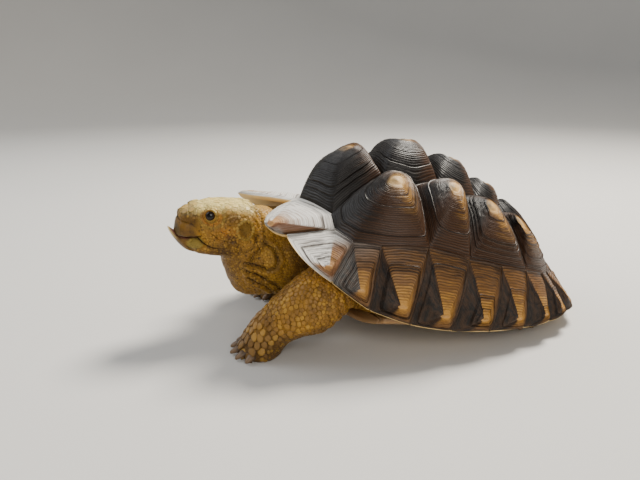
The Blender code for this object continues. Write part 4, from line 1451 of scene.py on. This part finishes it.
def scale_sizes(points, normals):
    """Spacing, rise and backward reach of the scales at points in the standing frame."""
    x, y, z = points.T
    head = smoothstep(-184, -198, y) * smoothstep(60, 52, np.abs(x)) * smoothstep(78, 88, z)
    neck = smoothstep(-132, -146, y) * smoothstep(64, 56, np.abs(x)) * (1 - head)
    fore = smoothstep(-84, -96, y) * smoothstep(60, 68, np.abs(x))
    rear = smoothstep(50, 66, y)
    low = smoothstep(66, 22, z)
    facing = smoothstep(0.0, 0.7, -normals[:, 1] + 0.2 * np.abs(normals[:, 0]))
    facing *= np.where(y < 0, smoothstep(-126, -148, y), 1.0)
    spacing = 2.7 + 0.5 * noise(points, 16, 91)
    rise = np.full(len(points), 0.32)
    reach = np.full(len(points), 0.10)
    big = fore * facing
    spacing = spacing + big * (1.5 + 3.6 * low ** 1.5 + 0.9 * noise(points, 9, 93))
    rise = rise + big * (0.15 + 0.85 * low)
    reach = reach + big * (0.12 + 0.25 * low)
    heel = rear * smoothstep(34, 12, z)
    spacing = spacing + heel * (2.6 + 1.4 * noise(points, 8, 95))
    rise, reach = rise + heel * 0.6, reach + heel * 0.2
    spacing = blend(spacing, 2.5 + 0.5 * noise(points, 12, 97), neck)
    rise = blend(rise, 0.22, neck)
    crown = smoothstep(0.3, 0.7, normals[:, 2]) * smoothstep(140, 150, z)
    face = 2.2 + 3.4 * crown + 0.8 * bell(np.abs(z - 136), 12) + 0.4 * noise(points, 9, 99)
    _, _, far, _ = eye_frame(points)
    spacing = blend(spacing, blend(face, 1.75, bell(far - 10, 4.5)), head)
    beads = bell(np.hypot((y + 231) / 1.6, z - 124), 9.0)
    rise = blend(rise, 0.20 + 0.05 * crown + 0.28 * beads, head)
    reach = reach * (1 - head) * (1 - neck * 0.5)
    sole = smoothstep(4.0, 1.0, z)
    return spacing * (1 + 0.3 * sole), rise, reach


def scale_ground(points, normals):
    """True where scales grow: skin that shows, clear of plates, eyes, beak and soles."""
    x, y, z = points.T
    _, _, far, angle = eye_frame(points)
    lids = (far < 12.5) & (angle < LID_OPENING + 13)
    snout = (y < -262) & (z < 147) & (y < -255 - 8 * smoothstep(0, 16, np.abs(x)))
    beak = (y < -254) & (z < 146) & (z > 110)
    plates = (plate(points, EAR) < 1.0) | (plate(points, JAW_PLATE) < 1.05)
    plates &= (np.abs(normals[:, 0]) > 0.4) & (y < -190)
    mouth = (path_distance(points, MOUTH_LINE) < 1.1) & (y < -216)
    hole = paired_distance(points, NOSTRIL) < 3.2
    shut = out_of_sight(points) > 0
    _, sy, sz = level(points).T
    roof = (sz > 42) & (sy > -100) & (sy < 168) & (normals[:, 2] > -0.2)
    wall = (np.abs(sy + 10) < 66) & (sz > 0)
    sole = (z < 0.6) & (normals[:, 2] < -0.5)
    return ~(lids | snout | beak | plates | mouth | hole | shut | roof | wall | sole)


def tree_of(points):
    """The points in a tree that finds the nearest ones."""
    tree = KDTree(len(points))
    for i, point in enumerate(points):
        tree.insert(point, i)
    tree.balance()
    return tree


def scatter(points, spacing, seed):
    """Picks points at random so that each keeps its own spacing from the others."""
    order = np.random.default_rng(seed).permutation(len(points))
    tree = tree_of(points)
    free = np.ones(len(points), bool)
    chosen = []
    for i in order:
        if free[i]:
            chosen.append(i)
            for _, j, _ in tree.find_range(points[i], float(spacing[i])):
                free[j] = False
    return np.array(chosen)


def neighbours(points):
    """The nearest neighbours of each point, as offsets."""
    tree = tree_of(points)
    return np.array([[np.array(co) - point for co, _, _ in tree.find_n(point, NEAR_SCALES + 1)[1:]]
                     for point in points])


def scale_lie(points, normals):
    """The way scales point: down a limb, back along the head, neck and tail."""
    x, y, _ = points.T
    head = smoothstep(-130, -150, y) * smoothstep(64, 56, np.abs(x))
    tail = smoothstep(140, 150, y) * smoothstep(30, 24, np.abs(x))
    lie = np.zeros_like(points)
    lie[:, 2] = -1.0 + head * 0.8
    lie[:, 1] = 0.15 + head * 0.85 + tail
    lie -= (lie * normals).sum(1, keepdims=True) * normals
    return unit(lie, 1e-6)


def scale_shapes(roots, normals, spacing, rise, reach, sides, seed):
    """Points of the scales: four rings each, from the skirt up, and a top."""
    lie = scale_lie(roots, normals)
    across = np.cross(normals, lie)
    near = neighbours(roots)
    flat = np.stack(((near * lie[:, None]).sum(2), (near * across[:, None]).sum(2)), -1)
    half = (flat ** 2).sum(2) / 2
    turn = circle(sides)
    ways = np.stack((np.cos(turn), np.sin(turn)), -1)
    facing = np.einsum("nkd,sd->nks", flat, ways)
    radius = np.where(facing > 1e-6, half[..., None] / np.maximum(facing, 1e-6), 1e9).min(1)
    radius = np.minimum(radius, spacing[:, None] * 0.78)
    soft = (np.roll(radius, 1, 1) + np.roll(radius, -1, 1) + 2 * radius) / 4
    radius = np.minimum(soft, radius * 1.06) * SCALE_FILL
    stretch = 1 + reach[:, None] * np.maximum(np.cos(turn), 0)[None] ** 2
    tilt = np.cos(turn)[None] * reach[:, None]
    wobble = noise(roots, 1.7, seed)
    rings = []
    for size, high, lean in SCALE_RINGS:
        r = radius * size * (1 + (stretch - 1) * (high > 0))
        lift = rise[:, None] * high * (1 + 0.25 * wobble[:, None])
        lift = lift + tilt * r * 0.32 * lean * (high > 0)
        ring = roots[:, None] + (ways[None, :, :1] * r[..., None] * lie[:, None]
                                 + ways[None, :, 1:] * r[..., None] * across[:, None])
        rings.append(ring + normals[:, None] * lift[..., None])
    top = roots + normals * (rise * (1.04 + 0.2 * wobble))[:, None]
    return np.concatenate([np.stack(rings, 1).reshape(len(roots), -1, 3), top[:, None]], 1)


def scale_piece(name, roots, normals, sizes, sides, seed):
    """All the scales of one patch in one mesh, coloured by the skin's own markings."""
    spacing, rise, reach = sizes
    shapes = scale_shapes(roots, normals, spacing, rise, reach, sides, seed)
    shapes[..., 2] = np.maximum(shapes[..., 2], FLOOR_GAP)
    count, per = shapes.shape[:2]
    start = (np.arange(count) * per)[:, None, None]
    faces = [(block[None] + start).reshape(-1, block.shape[1])
             for block in (band_faces(4, sides), fan_faces(3 * sides, sides, 4 * sides))]
    marks = markings(roots, normals)
    marks["shade"] = np.random.default_rng(seed).uniform(0, 1, count)
    marks["large"] = smoothstep(3.5, 7.0, spacing)
    values = {key: np.repeat(value, per) for key, value in marks.items()}
    raised = np.concatenate((np.repeat((0.0, 0.25, 0.75, 1.0), sides), (1.0,)))
    values["raised"] = np.tile(raised, count)
    obj = write_mesh(name, shapes.reshape(-1, 3) + SHIFT, faces, values,
                     scale_unwrap(roots, shapes), finish("scale", scale_look, IOR=1.4))
    return finish_piece(obj, "skin")


def scale_unwrap(roots, shapes):
    """A small patch for each scale at its root's place on the skin rolled out flat."""
    middle = roots.mean(0)
    centre = roots - middle
    _, _, axes = np.linalg.svd(centre[:: max(1, len(centre) // 2000)], full_matrices=False)
    turned = centre @ axes.T
    u = np.arctan2(turned[:, 2], turned[:, 1]) / (2 * math.pi) + 0.5
    v = (turned[:, 0] - turned[:, 0].min()) / max(np.ptp(turned[:, 0]), 1e-6)
    home = np.stack((u, v), -1) * 0.96 + 0.02
    away = (shapes - roots[:, None]) @ axes[:2].T
    size = np.abs(away).max(axis=(1, 2), keepdims=True)
    return (home[:, None] + away / size * SCALE_PATCH).reshape(-1, 2)


def scale_look(look):
    """Marked skin, a tone of its own for each scale, painted shade between them and horny on top."""
    shade, raised, large = look.attributes("shade raised large")
    base = marked_colour(look)
    base = look.mix(shade.between(0.55, 1.0) * 0.35, base, "skin_gold")
    base = look.mix(shade.between(0.45, 0.0) * 0.4, base, "skin_umber")
    # Painted shade round the foot of each scale, where it meets the skin.
    base = look.mix(raised.between(0.7, 0.0) * 0.6, base, "skin_crease_shade")
    horny = large * raised.between(0.5, 1.0) * (0.12 + shade * 0.26)
    base = look.mix(horny, base, "scale_horn")
    grain = look.noise(420.0, 4.0)
    relief = grain * 0.7 + look.cells(210.0) * 0.3
    return look.surface(Base_Color=base, Roughness=0.36 + grain * 0.22,
                        Normal=look.bump(relief, 0.0006, 0.7))


def surface_samples(flesh, crowding, seed):
    """Random points over the skin, that many for each scale's room, and their normals."""
    mesh = flesh.obj.data
    mesh.calc_loop_triangles()
    corners = read_values(mesh.loop_triangles, "vertices", 3, np.int32)
    normals = flesh.normals()
    a, b, c = (flesh.points[corners[:, i]] for i in range(3))
    area = np.linalg.norm(np.cross(b - a, c - a), axis=1) / 2
    middle = (a + b + c) / 3
    facing = normals[corners[:, 0]]
    gap = scale_sizes(middle, facing)[0]
    keep = scale_ground(middle, facing)
    pick = np.random.default_rng(seed)
    wanted = area / gap ** 2 * crowding * keep
    times = np.floor(wanted + pick.uniform(0, 1, len(wanted))).astype(int)
    chosen = np.repeat(np.arange(len(corners)), times)
    share = pick.dirichlet((1, 1, 1), len(chosen))
    points = (flesh.points[corners[chosen]] * share[..., None]).sum(1)
    return points, unit((normals[corners[chosen]] * share[..., None]).sum(1))


def scale_zones(points):
    """Which patch each root belongs to."""
    x, y, z = points.T
    zone = np.where(y > 40, np.where(np.abs(x) < 34, "tail", "hindleg"), "foreleg").astype(object)
    zone[(y < -120) & (np.abs(x) < 60) & (z > 34)] = "neck"
    zone[(y < -192) & (np.abs(x) < 52) & (z > 84)] = "head"
    side = np.where(x > 0, "_left", "_right")
    return zone + np.where(zone == "tail", "", side)


def scale_coat(flesh):
    """Scales over all the skin that shows, in one mesh for each part of the body."""
    points, normals = surface_samples(flesh, 14.0, 5)
    sizes = np.array(scale_sizes(points, normals))
    chosen = scatter(points, sizes[0], 6)
    chosen = chosen[points[chosen, 2] > 0.42 * sizes[0, chosen]]
    points, normals, sizes = points[chosen], normals[chosen], sizes[:, chosen]
    zones = scale_zones(points)
    for number, name in enumerate(sorted(set(zones))):
        inside = zones == name
        scale_piece(name + "_scales", points[inside], normals[inside], sizes[:, inside],
                    12 if "foreleg" in name else 10, 200 + number)


# ------------------------ plastron
# Plates of the underside: y and half width, in front and behind.
PLASTRON = {
    "gular": ((-172, 20), (-145, 34)),
    "humeral": ((-145, 34), (-106, 80)),
    "pectoral": ((-106, 80), (-84, 128)),
    "abdominal": ((-84, 128), (52, 140)),
    "femoral": ((52, 80), (110, 62)),
    "anal": ((110, 62), (165, 34)),
}
# Depth of the notches at both ends, and half the gap along the middle.
NOTCH = {"gular": 9.0, "anal": 16.0}
PLATE_GAP = 0.3
# Distance between mesh columns, mesh rows and growth rings of a plate.
PLATE_SPACING = 3.6
PLATE_ROWS = 30
PLATE_RINGS = 16.0
DOWN = np.array((0.0, 0.0, -1.0))


def plate_outline(name, side):
    """Outline of a plastron scute seen from below, starting at the front middle."""
    (y0, w0), (y1, w1) = PLASTRON[name]
    y, wide = np.linspace((y0, w0), (y1, w1), 20).T
    if name == "abdominal":
        rim_x, rim_y, _ = zip(*RIM_EDGE)
        wide = np.maximum(np.interp(y, rim_y, rim_x) - 8.0, w0 * 0.9)
    notch = NOTCH.get(name, 0.0)
    outer = np.stack((wide, y), -1)
    if side == 0:
        middle = ((0.0, y0 + notch * (name == "gular")), (0.0, y1 - notch * (name == "anal")))
        flat = np.vstack((middle[:1], outer, middle[1:], (outer * (-1, 1))[::-1]))
    else:
        flat = np.vstack(((PLATE_GAP, y0), outer, (PLATE_GAP, y1))) * (side, 1)
    return np.column_stack((flat, belly(flat[:, 0], flat[:, 1])))


def plastron_scute(name, side, node, seed):
    """A plate of the underside: growth lines that follow its seams, worn smooth in the middle."""
    outline = even(plate_outline(name, side), PLATE_SPACING)
    middle = outline.mean(0)
    y0, y1 = PLASTRON[name][0][0], PLASTRON[name][1][0]
    focus = np.array((middle[0] * 1.25 if side else 0.0, y1 - 0.28 * (y1 - y0), 0.0))
    if name in ("anal", "femoral"):
        focus[1] = y0 + 0.3 * (y1 - y0)
    t = np.linspace(0, 1, PLATE_ROWS)[:, None]
    inwards = t[..., None] * 0.97
    flat = outline[:, :2] * (1 - inwards) + focus[:2] * inwards
    grid = np.concatenate((flat, belly(flat[..., 0], flat[..., 1])[..., None]), -1)
    phase = (1 - (1 - t) ** 0.8) * PLATE_RINGS + 0.3 * noise(grid, 22, seed)
    relief, cut = ring_relief(phase, seed)
    worn = smoothstep(0.75, 0.3, t) * smoothstep(0.0, 0.03, t)
    lift = (0.34 * relief - 0.5 * cut) * worn + 0.25 * noise(grid, 18, seed + 1)
    lift = lift - 0.9 * np.exp(-t / 0.02) - 0.35
    shown = grid + DOWN * lift[..., None]
    top = outline - DOWN * (PLATE - 0.4)
    wall = (shown[0] + outline) / 2 - DOWN * PLATE / 2
    rings = np.concatenate((top[None], wall[None], shown))
    points = np.vstack((rings.reshape(-1, 3), rings[-1].mean(0), top.mean(0)))
    faces, _ = plate_faces(len(rings), outline, DOWN)
    count = len(outline)
    grow = np.concatenate((np.zeros(2 * count), np.repeat(t[:, 0], count), (1.0, 0.0)))
    ring = np.concatenate((np.zeros(2 * count), phase.ravel(), (PLATE_RINGS, 0.0)))
    groove = np.concatenate((np.full(2 * count, 0.4), (cut * worn).ravel(), (0.0, 0.0)))
    low, high = points[:, :2].min(0), points[:, :2].max(0)
    uv = (points[:, :2] - low) / (high - low).max() * 0.94 + 0.02
    uv[:count] = uv[:count] * 0.02 + 0.97
    uv[-1] = 0.975
    values = {"growth": grow, "ring": ring, "groove": groove,
              "weather": rough(points, 40, seed + 5)}
    obj = write_mesh(node + "_horn", stand(points), faces, values, uv,
                     finish("plastron", plastron_look, IOR=1.5))
    finish_piece(obj, "plastron_horn", node)


def plastron_look(look):
    """Cream horn with amber edges, brown growth lines and smudges."""
    growth, weather, ring, groove = look.attributes("growth weather ring groove")
    mottle = look.noise(40.0, 4.0)
    base = look.mix((growth + weather * 0.2 + mottle * 0.4 - 0.2).clamp(), "plate_amber",
                    "plate_cream")
    base = look.mix(ring.wave() * growth.between(0.8, 0.2) * 0.35, base, "horn_brown")
    base = look.mix(groove * 0.8, base, "horn_brown")
    smudge = (weather * 0.8 + mottle).between(0.75, 1.25) * 0.5
    base = look.mix(smudge, base, "horn_umber")
    return look.surface(Base_Color=base, Roughness=0.34 + mottle * 0.2,
                        Normal=look.bump(look.noise(500.0, 3.0), 0.0004, 0.6))


# ------------------------ stage
CAMERA_PLACE = (0.67453, -0.28483, 0.31284)
CAMERA_AZIMUTH = math.radians(72.593)
CAMERA_DROP = math.radians(16.691)
CAMERA_LENS = 33.771
FLOOR_SHADES = ((0.60, 0.59, 0.57), (0.66, 0.65, 0.63))
AIR_COLOUR = (0.93, 0.96, 1.0)
AIR_STRENGTH = 0.30
# Lights: name, place, aim, width, power and colour.
LAMPS = (
    ("key_light", (-0.55, 0.95, 1.75), (0.0, 0.0, 0.08), 0.7, 92.0, (1.0, 0.94, 0.84)),
    ("sky_light", (-0.9, -1.6, 1.5), (0.0, 0.0, 0.1), 1.8, 22.0, (0.90, 0.95, 1.0)),
    ("front_light", (1.9, -0.35, 1.15), (0.0, 0.0, 0.08), 1.3, 20.0, (1.0, 0.95, 0.88)),
)


def sweep():
    """Pale floor that curves up into a wall behind the animal and all round it."""
    turn = 96
    profile = [(0.0, 0.0), (0.6, 0.0), (2.6, 0.0)]
    profile += [(2.6 + 1.4 * math.sin(a), 1.4 - 1.4 * math.cos(a))
                for a in np.linspace(0, math.pi / 2, 16)[1:]]
    profile.append((4.0, 3.4))
    ring = np.stack((np.cos(circle(turn)), np.sin(circle(turn))), -1)
    points = np.array([(*(ring[i] * max(r, 1e-3)), z) for r, z in profile for i in range(turn)])
    faces = [band_faces(len(profile), turn), np.arange(turn)[None, ::-1]]
    material = finish("stage", stage_look, Roughness=0.85)
    write_mesh("stage_floor", points / MM, faces, material=material)


def stage_look(look):
    """Pale floor with very soft shades."""
    return look.surface(Base_Color=look.mix(look.noise(1.3, 2.0), *FLOOR_SHADES))


def soft_light(name, place, aim, width, power, tint):
    data = bpy.data.lights.new(name, "AREA")
    data.shape, data.size, data.energy, data.color = "DISK", width, power, tint
    lamp = bpy.data.objects.new(name, data)
    lamp.location = place
    lamp.rotation_euler = (Vector(aim) - Vector(place)).to_track_quat("-Z", "Y").to_euler()
    link(lamp)


def world_light():
    world = bpy.data.worlds.new("studio_air")
    bpy.context.scene.world = world
    world.use_nodes = True
    air = world.node_tree.nodes["Background"]
    air.inputs["Color"].default_value = (*AIR_COLOUR, 1.0)
    air.inputs["Strength"].default_value = AIR_STRENGTH


def camera():
    data = bpy.data.cameras.new("portrait_camera")
    data.lens, data.sensor_width = CAMERA_LENS, 36.0
    view = bpy.data.objects.new("portrait_camera", data)
    view.location = CAMERA_PLACE
    view.rotation_euler = (math.pi / 2 - CAMERA_DROP, 0.0, CAMERA_AZIMUTH)
    bpy.context.scene.camera = link(view)


# ------------------------ settings
def length(name, description, default, low=0.0, high=20.0):
    return FloatProperty(name=name, description=description, default=default, min=low, max=high)


def tone(name, description, default):
    return FloatVectorProperty(name=name, description=description, default=default, size=3,
                               subtype="COLOR", min=0.0, max=1.0)


class TortoiseShell(bpy.types.PropertyGroup):
    """Sizes of the horn relief, in millimetres."""

    ring_pitch: length("Ring pitch", "Distance between growth rings on the large scutes", 2.7)
    rim_pitch: length("Rim ring pitch", "Distance between growth rings on the rim", 3.3)
    ridge_height: length("Ridge height", "Height of a growth ring", 0.7)
    groove_depth: length("Groove depth", "Depth of the deep growth stops", 1.1)
    seam_depth: length("Seam depth", "Drop of the horn beside a seam", 0.9)
    spacing: length("Mesh spacing", "Distance between mesh columns round a scute", 3.1)


class TortoiseColours(bpy.types.PropertyGroup):
    """Colours of horn, skin, beak and eyes."""

    # Charcoal front faces and brown rear faces: partly the horn's own colours, partly painted shade
    # in front and painted sunlight behind.
    horn_dark: tone("Charcoal horn", "Front faces of the scutes", (0.0100, 0.0078, 0.0066))
    horn_brown: tone("Brown horn", "Rear faces of the scutes", (0.056, 0.024, 0.0095))
    horn_umber: tone("Umber horn", "Upper edge of the rim scutes", (0.052, 0.026, 0.012))
    rim_brown: tone("Rim brown", "Middle of the rim scutes", (0.19, 0.088, 0.024))
    horn_gold: tone("Golden horn", "Youngest and most lit horn", (0.47, 0.235, 0.044))
    horn_tan: tone("Worn patch", "Worn patch at a scute's tip", (0.72, 0.46, 0.17))
    horn_pale: tone("Bleached horn", "Bleached front rim scutes", (0.7, 0.68, 0.64))
    horn_rose: tone("Rose horn", "Middle of the bleached rim scutes", (0.25, 0.12, 0.066))
    # Painted sky reflection, a pale sheen on faces that look up.
    horn_bloom: tone("Bloom", "Dusty bloom on faces that look up", (0.34, 0.36, 0.40))
    # Colour of the growth stops and of the fine lines between the growth ridges: darker in the
    # grooves.
    horn_groove: tone("Groove", "Dirt in the growth stops", (0.006, 0.004, 0.003))
    horn_under: tone("Under horn", "Underside of the shell", (0.40, 0.25, 0.085))
    horn_lip: tone("Rim line", "Thin free edge of the rim", (0.72, 0.50, 0.20))
    plate_amber: tone("Plastron edge", "Growth lines of the plastron", (0.36, 0.20, 0.075))
    plate_cream: tone("Plastron", "Worn middle of a plastron scute", (0.56, 0.42, 0.22))
    skin_ochre: tone("Ochre skin", "Main colour of the skin", (0.385, 0.188, 0.018))
    skin_gold: tone("Golden skin", "Throat and lightest scales", (0.54, 0.305, 0.034))
    skin_umber: tone("Umber skin", "Darker patches of the skin", (0.115, 0.052, 0.007))
    # Partly the crown's own cream colour, partly painted sunlight on the top of the head.
    skin_crown_pale_and_sunlit: tone("Crown", "Cream scales on top of the head", (0.84, 0.68, 0.24))
    # Also carries the painted shade under the lower jaw.
    skin_brown: tone("Brown face", "Temple, brow and snout", (0.075, 0.032, 0.005))
    skin_dark: tone("Dark marks", "Mouth line and freckles", (0.020, 0.009, 0.004))
    skin_orange: tone("Orange beads", "Small scales behind the mouth and lids", (0.48, 0.165, 0.012))
    skin_ear: tone("Ear", "Ear disc", (0.2, 0.125, 0.024))
    skin_pale: tone("Pale plates", "Jaw plate and ear rim", (0.34, 0.25, 0.050))
    skin_foot: tone("Foot", "Feet and lower legs", (0.085, 0.042, 0.009))
    # Painted shade in creases and folds, in the shell's shadow on the neck, and between scales and
    # small cells.
    skin_crease_shade: tone("Creases", "Bottom of the folds", (0.028, 0.012, 0.003))
    mouth_pink: tone("Mouth", "Lining of the mouth", (0.62, 0.26, 0.20))
    tongue_pale: tone("Tongue", "Lightest part of the tongue", (0.75, 0.42, 0.34))
    scale_horn: tone("Horny scale", "Raised ends of the big leg scales", (0.42, 0.235, 0.065))
    beak_dark: tone("Dark beak", "Front of the beak", (0.026, 0.015, 0.004))
    beak_brown: tone("Brown beak", "Sides of the beak", (0.095, 0.055, 0.008))
    beak_rim: tone("Beak rim", "Cutting edge of the beak", (0.62, 0.46, 0.20))
    claw_root: tone("Claw root", "Upper end of a claw", (0.045, 0.024, 0.011))
    claw_tip: tone("Claw tip", "Worn end of a claw", (0.16, 0.095, 0.045))
    iris_dark: tone("Dark iris", "Darkest part of the eye", (0.006, 0.003, 0.002))
    iris_brown: tone("Brown iris", "Lightest part of the iris", (0.030, 0.012, 0.004))
    eye_rim: tone("Eye rim", "Eyeball beyond the iris", (0.020, 0.010, 0.005))


# ------------------------ operators
class TORTOISE_OT_large_scutes(bpy.types.Operator):
    """Builds the vertebral and costal scutes"""

    bl_idname = "tortoise.large_scutes"
    bl_label = "Large scutes"

    def execute(self, context):
        shell = context.scene.tortoise_shell
        for index, tip in enumerate(VERTEBRAL_TIPS):
            outline = even(vertebral_outline(VERTEBRALS[index]), shell.spacing)
            scute(f"vertebral_{index + 1}", outline, tip, "vertebral_horn", shell.ring_pitch,
                  10 + index)
        for index, tip in enumerate(COSTAL_TIPS):
            outline = even(costal_outline(COSTALS[index]), shell.spacing)
            for side, sign in SIDES:
                scute(f"costal_{index + 1}_{side}", outline * (sign, 1, 1),
                      np.array(tip) * (sign, 1, 1), "costal_horn", shell.ring_pitch,
                      30 + 2 * index + int(sign))
        return {"FINISHED"}


class TORTOISE_OT_rim_scutes(bpy.types.Operator):
    """Builds the marginal scutes and the supracaudal"""

    bl_idname = "tortoise.rim_scutes"
    bl_label = "Rim scutes"

    def execute(self, context):
        shell = context.scene.tortoise_shell
        for k in range(1, 12):
            outline, kinds = marginal_outline(k)
            outline, kinds = even(outline, shell.spacing * 0.9, kinds)
            free, fore = (kinds == 1).astype(float), front_face(kinds)
            for side, sign in SIDES:
                self.rim_scute(f"marginal_{k}_{side}", outline * (sign, 1, 1), k, sign,
                               60 + 2 * k + int(sign), free, fore)
        outline, free = supracaudal_outline()
        outline, free = even(outline, shell.spacing * 0.9, free)
        self.rim_scute("supracaudal", outline, 12, 1.0, 90, free, 0.0)
        return {"FINISHED"}

    @staticmethod
    def rim_scute(name, outline, k, sign, seed, free, fore):
        scute(name, outline, marginal_tip(k) * (sign, 1, 1), "marginal_horn",
              bpy.context.scene.tortoise_shell.rim_pitch, seed, MARGINAL_HEIGHT[k - 1],
              RIM_PATCH[k - 1], free, fore, RIM_BLEACH[k - 1], RIM_CORNER_ROUND)


class TORTOISE_OT_skin(bpy.types.Operator):
    """Builds the skin, in one piece from the beak to the tail"""

    bl_idname = "tortoise.skin"
    bl_label = "Skin"

    def execute(self, context):
        flesh = skin_form()
        normals = flesh.normals()
        marks = markings(flesh.points, normals)
        marks["crease"] = creases(flesh, normals)
        write_values(flesh.obj.data, marks)
        scale_coat(flesh)
        flesh.points = flesh.points + SHIFT
        flesh.store()
        flesh.obj.data.materials.append(finish("skin", skin_look, IOR=1.38))
        finish_piece(flesh.obj, "skin", *FLESH_NODES)
        return {"FINISHED"}


class TORTOISE_OT_plastron(bpy.types.Operator):
    """Builds the scutes of the underside"""

    bl_idname = "tortoise.plastron"
    bl_label = "Plastron"

    def execute(self, context):
        for number, name in enumerate(PLASTRON):
            if name in NOTCH:
                plastron_scute(name, 0, name, 300 + 7 * number)
                continue
            for side, sign in SIDES:
                plastron_scute(name, int(sign), f"{name}_{side}", 303 + 7 * number + int(sign))
        return {"FINISHED"}


class TORTOISE_OT_beaks(bpy.types.Operator):
    """Builds the horn of both jaws and the tongue between them"""

    bl_idname = "tortoise.beaks"
    bl_label = "Beaks and tongue"

    def execute(self, context):
        upper_beak()
        lower_beak()
        tongue()
        return {"FINISHED"}


class TORTOISE_OT_eyes(bpy.types.Operator):
    """Builds the eyeballs"""

    bl_idname = "tortoise.eyes"
    bl_label = "Eyes"

    def execute(self, context):
        for side, sign in SIDES:
            eyeball(side, sign)
        return {"FINISHED"}


class TORTOISE_OT_claws(bpy.types.Operator):
    """Builds the claws of every foot"""

    bl_idname = "tortoise.claws"
    bl_label = "Claws"

    def execute(self, context):
        for leg in LEGS:
            claws(leg)
        return {"FINISHED"}


class TORTOISE_OT_stage(bpy.types.Operator):
    """Builds the floor, the lights and the camera"""

    bl_idname = "tortoise.stage"
    bl_label = "Stage"

    def execute(self, context):
        sweep()
        for lamp in LAMPS:
            soft_light(*lamp)
        world_light()
        camera()
        return {"FINISHED"}


OPERATORS = (TORTOISE_OT_large_scutes, TORTOISE_OT_rim_scutes, TORTOISE_OT_plastron,
             TORTOISE_OT_skin, TORTOISE_OT_beaks, TORTOISE_OT_eyes, TORTOISE_OT_claws,
             TORTOISE_OT_stage)


class TORTOISE_PT_sidebar(bpy.types.Panel):
    """Sizes, colours and building steps of the tortoise"""

    bl_label = "Tortoise"
    bl_idname = "TORTOISE_PT_sidebar"
    bl_space_type = "VIEW_3D"
    bl_region_type = "UI"
    bl_category = "Tortoise"

    def draw(self, context):
        for group in SETTINGS:
            box = self.layout.box()
            for key in SETTINGS[group].__annotations__:
                box.prop(getattr(context.scene, group), key)
        for operator in OPERATORS:
            self.layout.operator(operator.bl_idname)


SETTINGS = {"tortoise_shell": TortoiseShell, "tortoise_colours": TortoiseColours}
CLASSES = (*SETTINGS.values(), *OPERATORS, TORTOISE_PT_sidebar)


def register():
    for item in CLASSES:
        bpy.utils.register_class(item)
    for name, group in SETTINGS.items():
        setattr(bpy.types.Scene, name, PointerProperty(type=group))


def unregister():
    for name in SETTINGS:
        delattr(bpy.types.Scene, name)
    for item in reversed(CLASSES):
        bpy.utils.unregister_class(item)


def main():
    register()
    for operator in OPERATORS:
        group, name = operator.bl_idname.split(".")
        getattr(getattr(bpy.ops, group), name)()


if __name__ == "__main__":
    main()
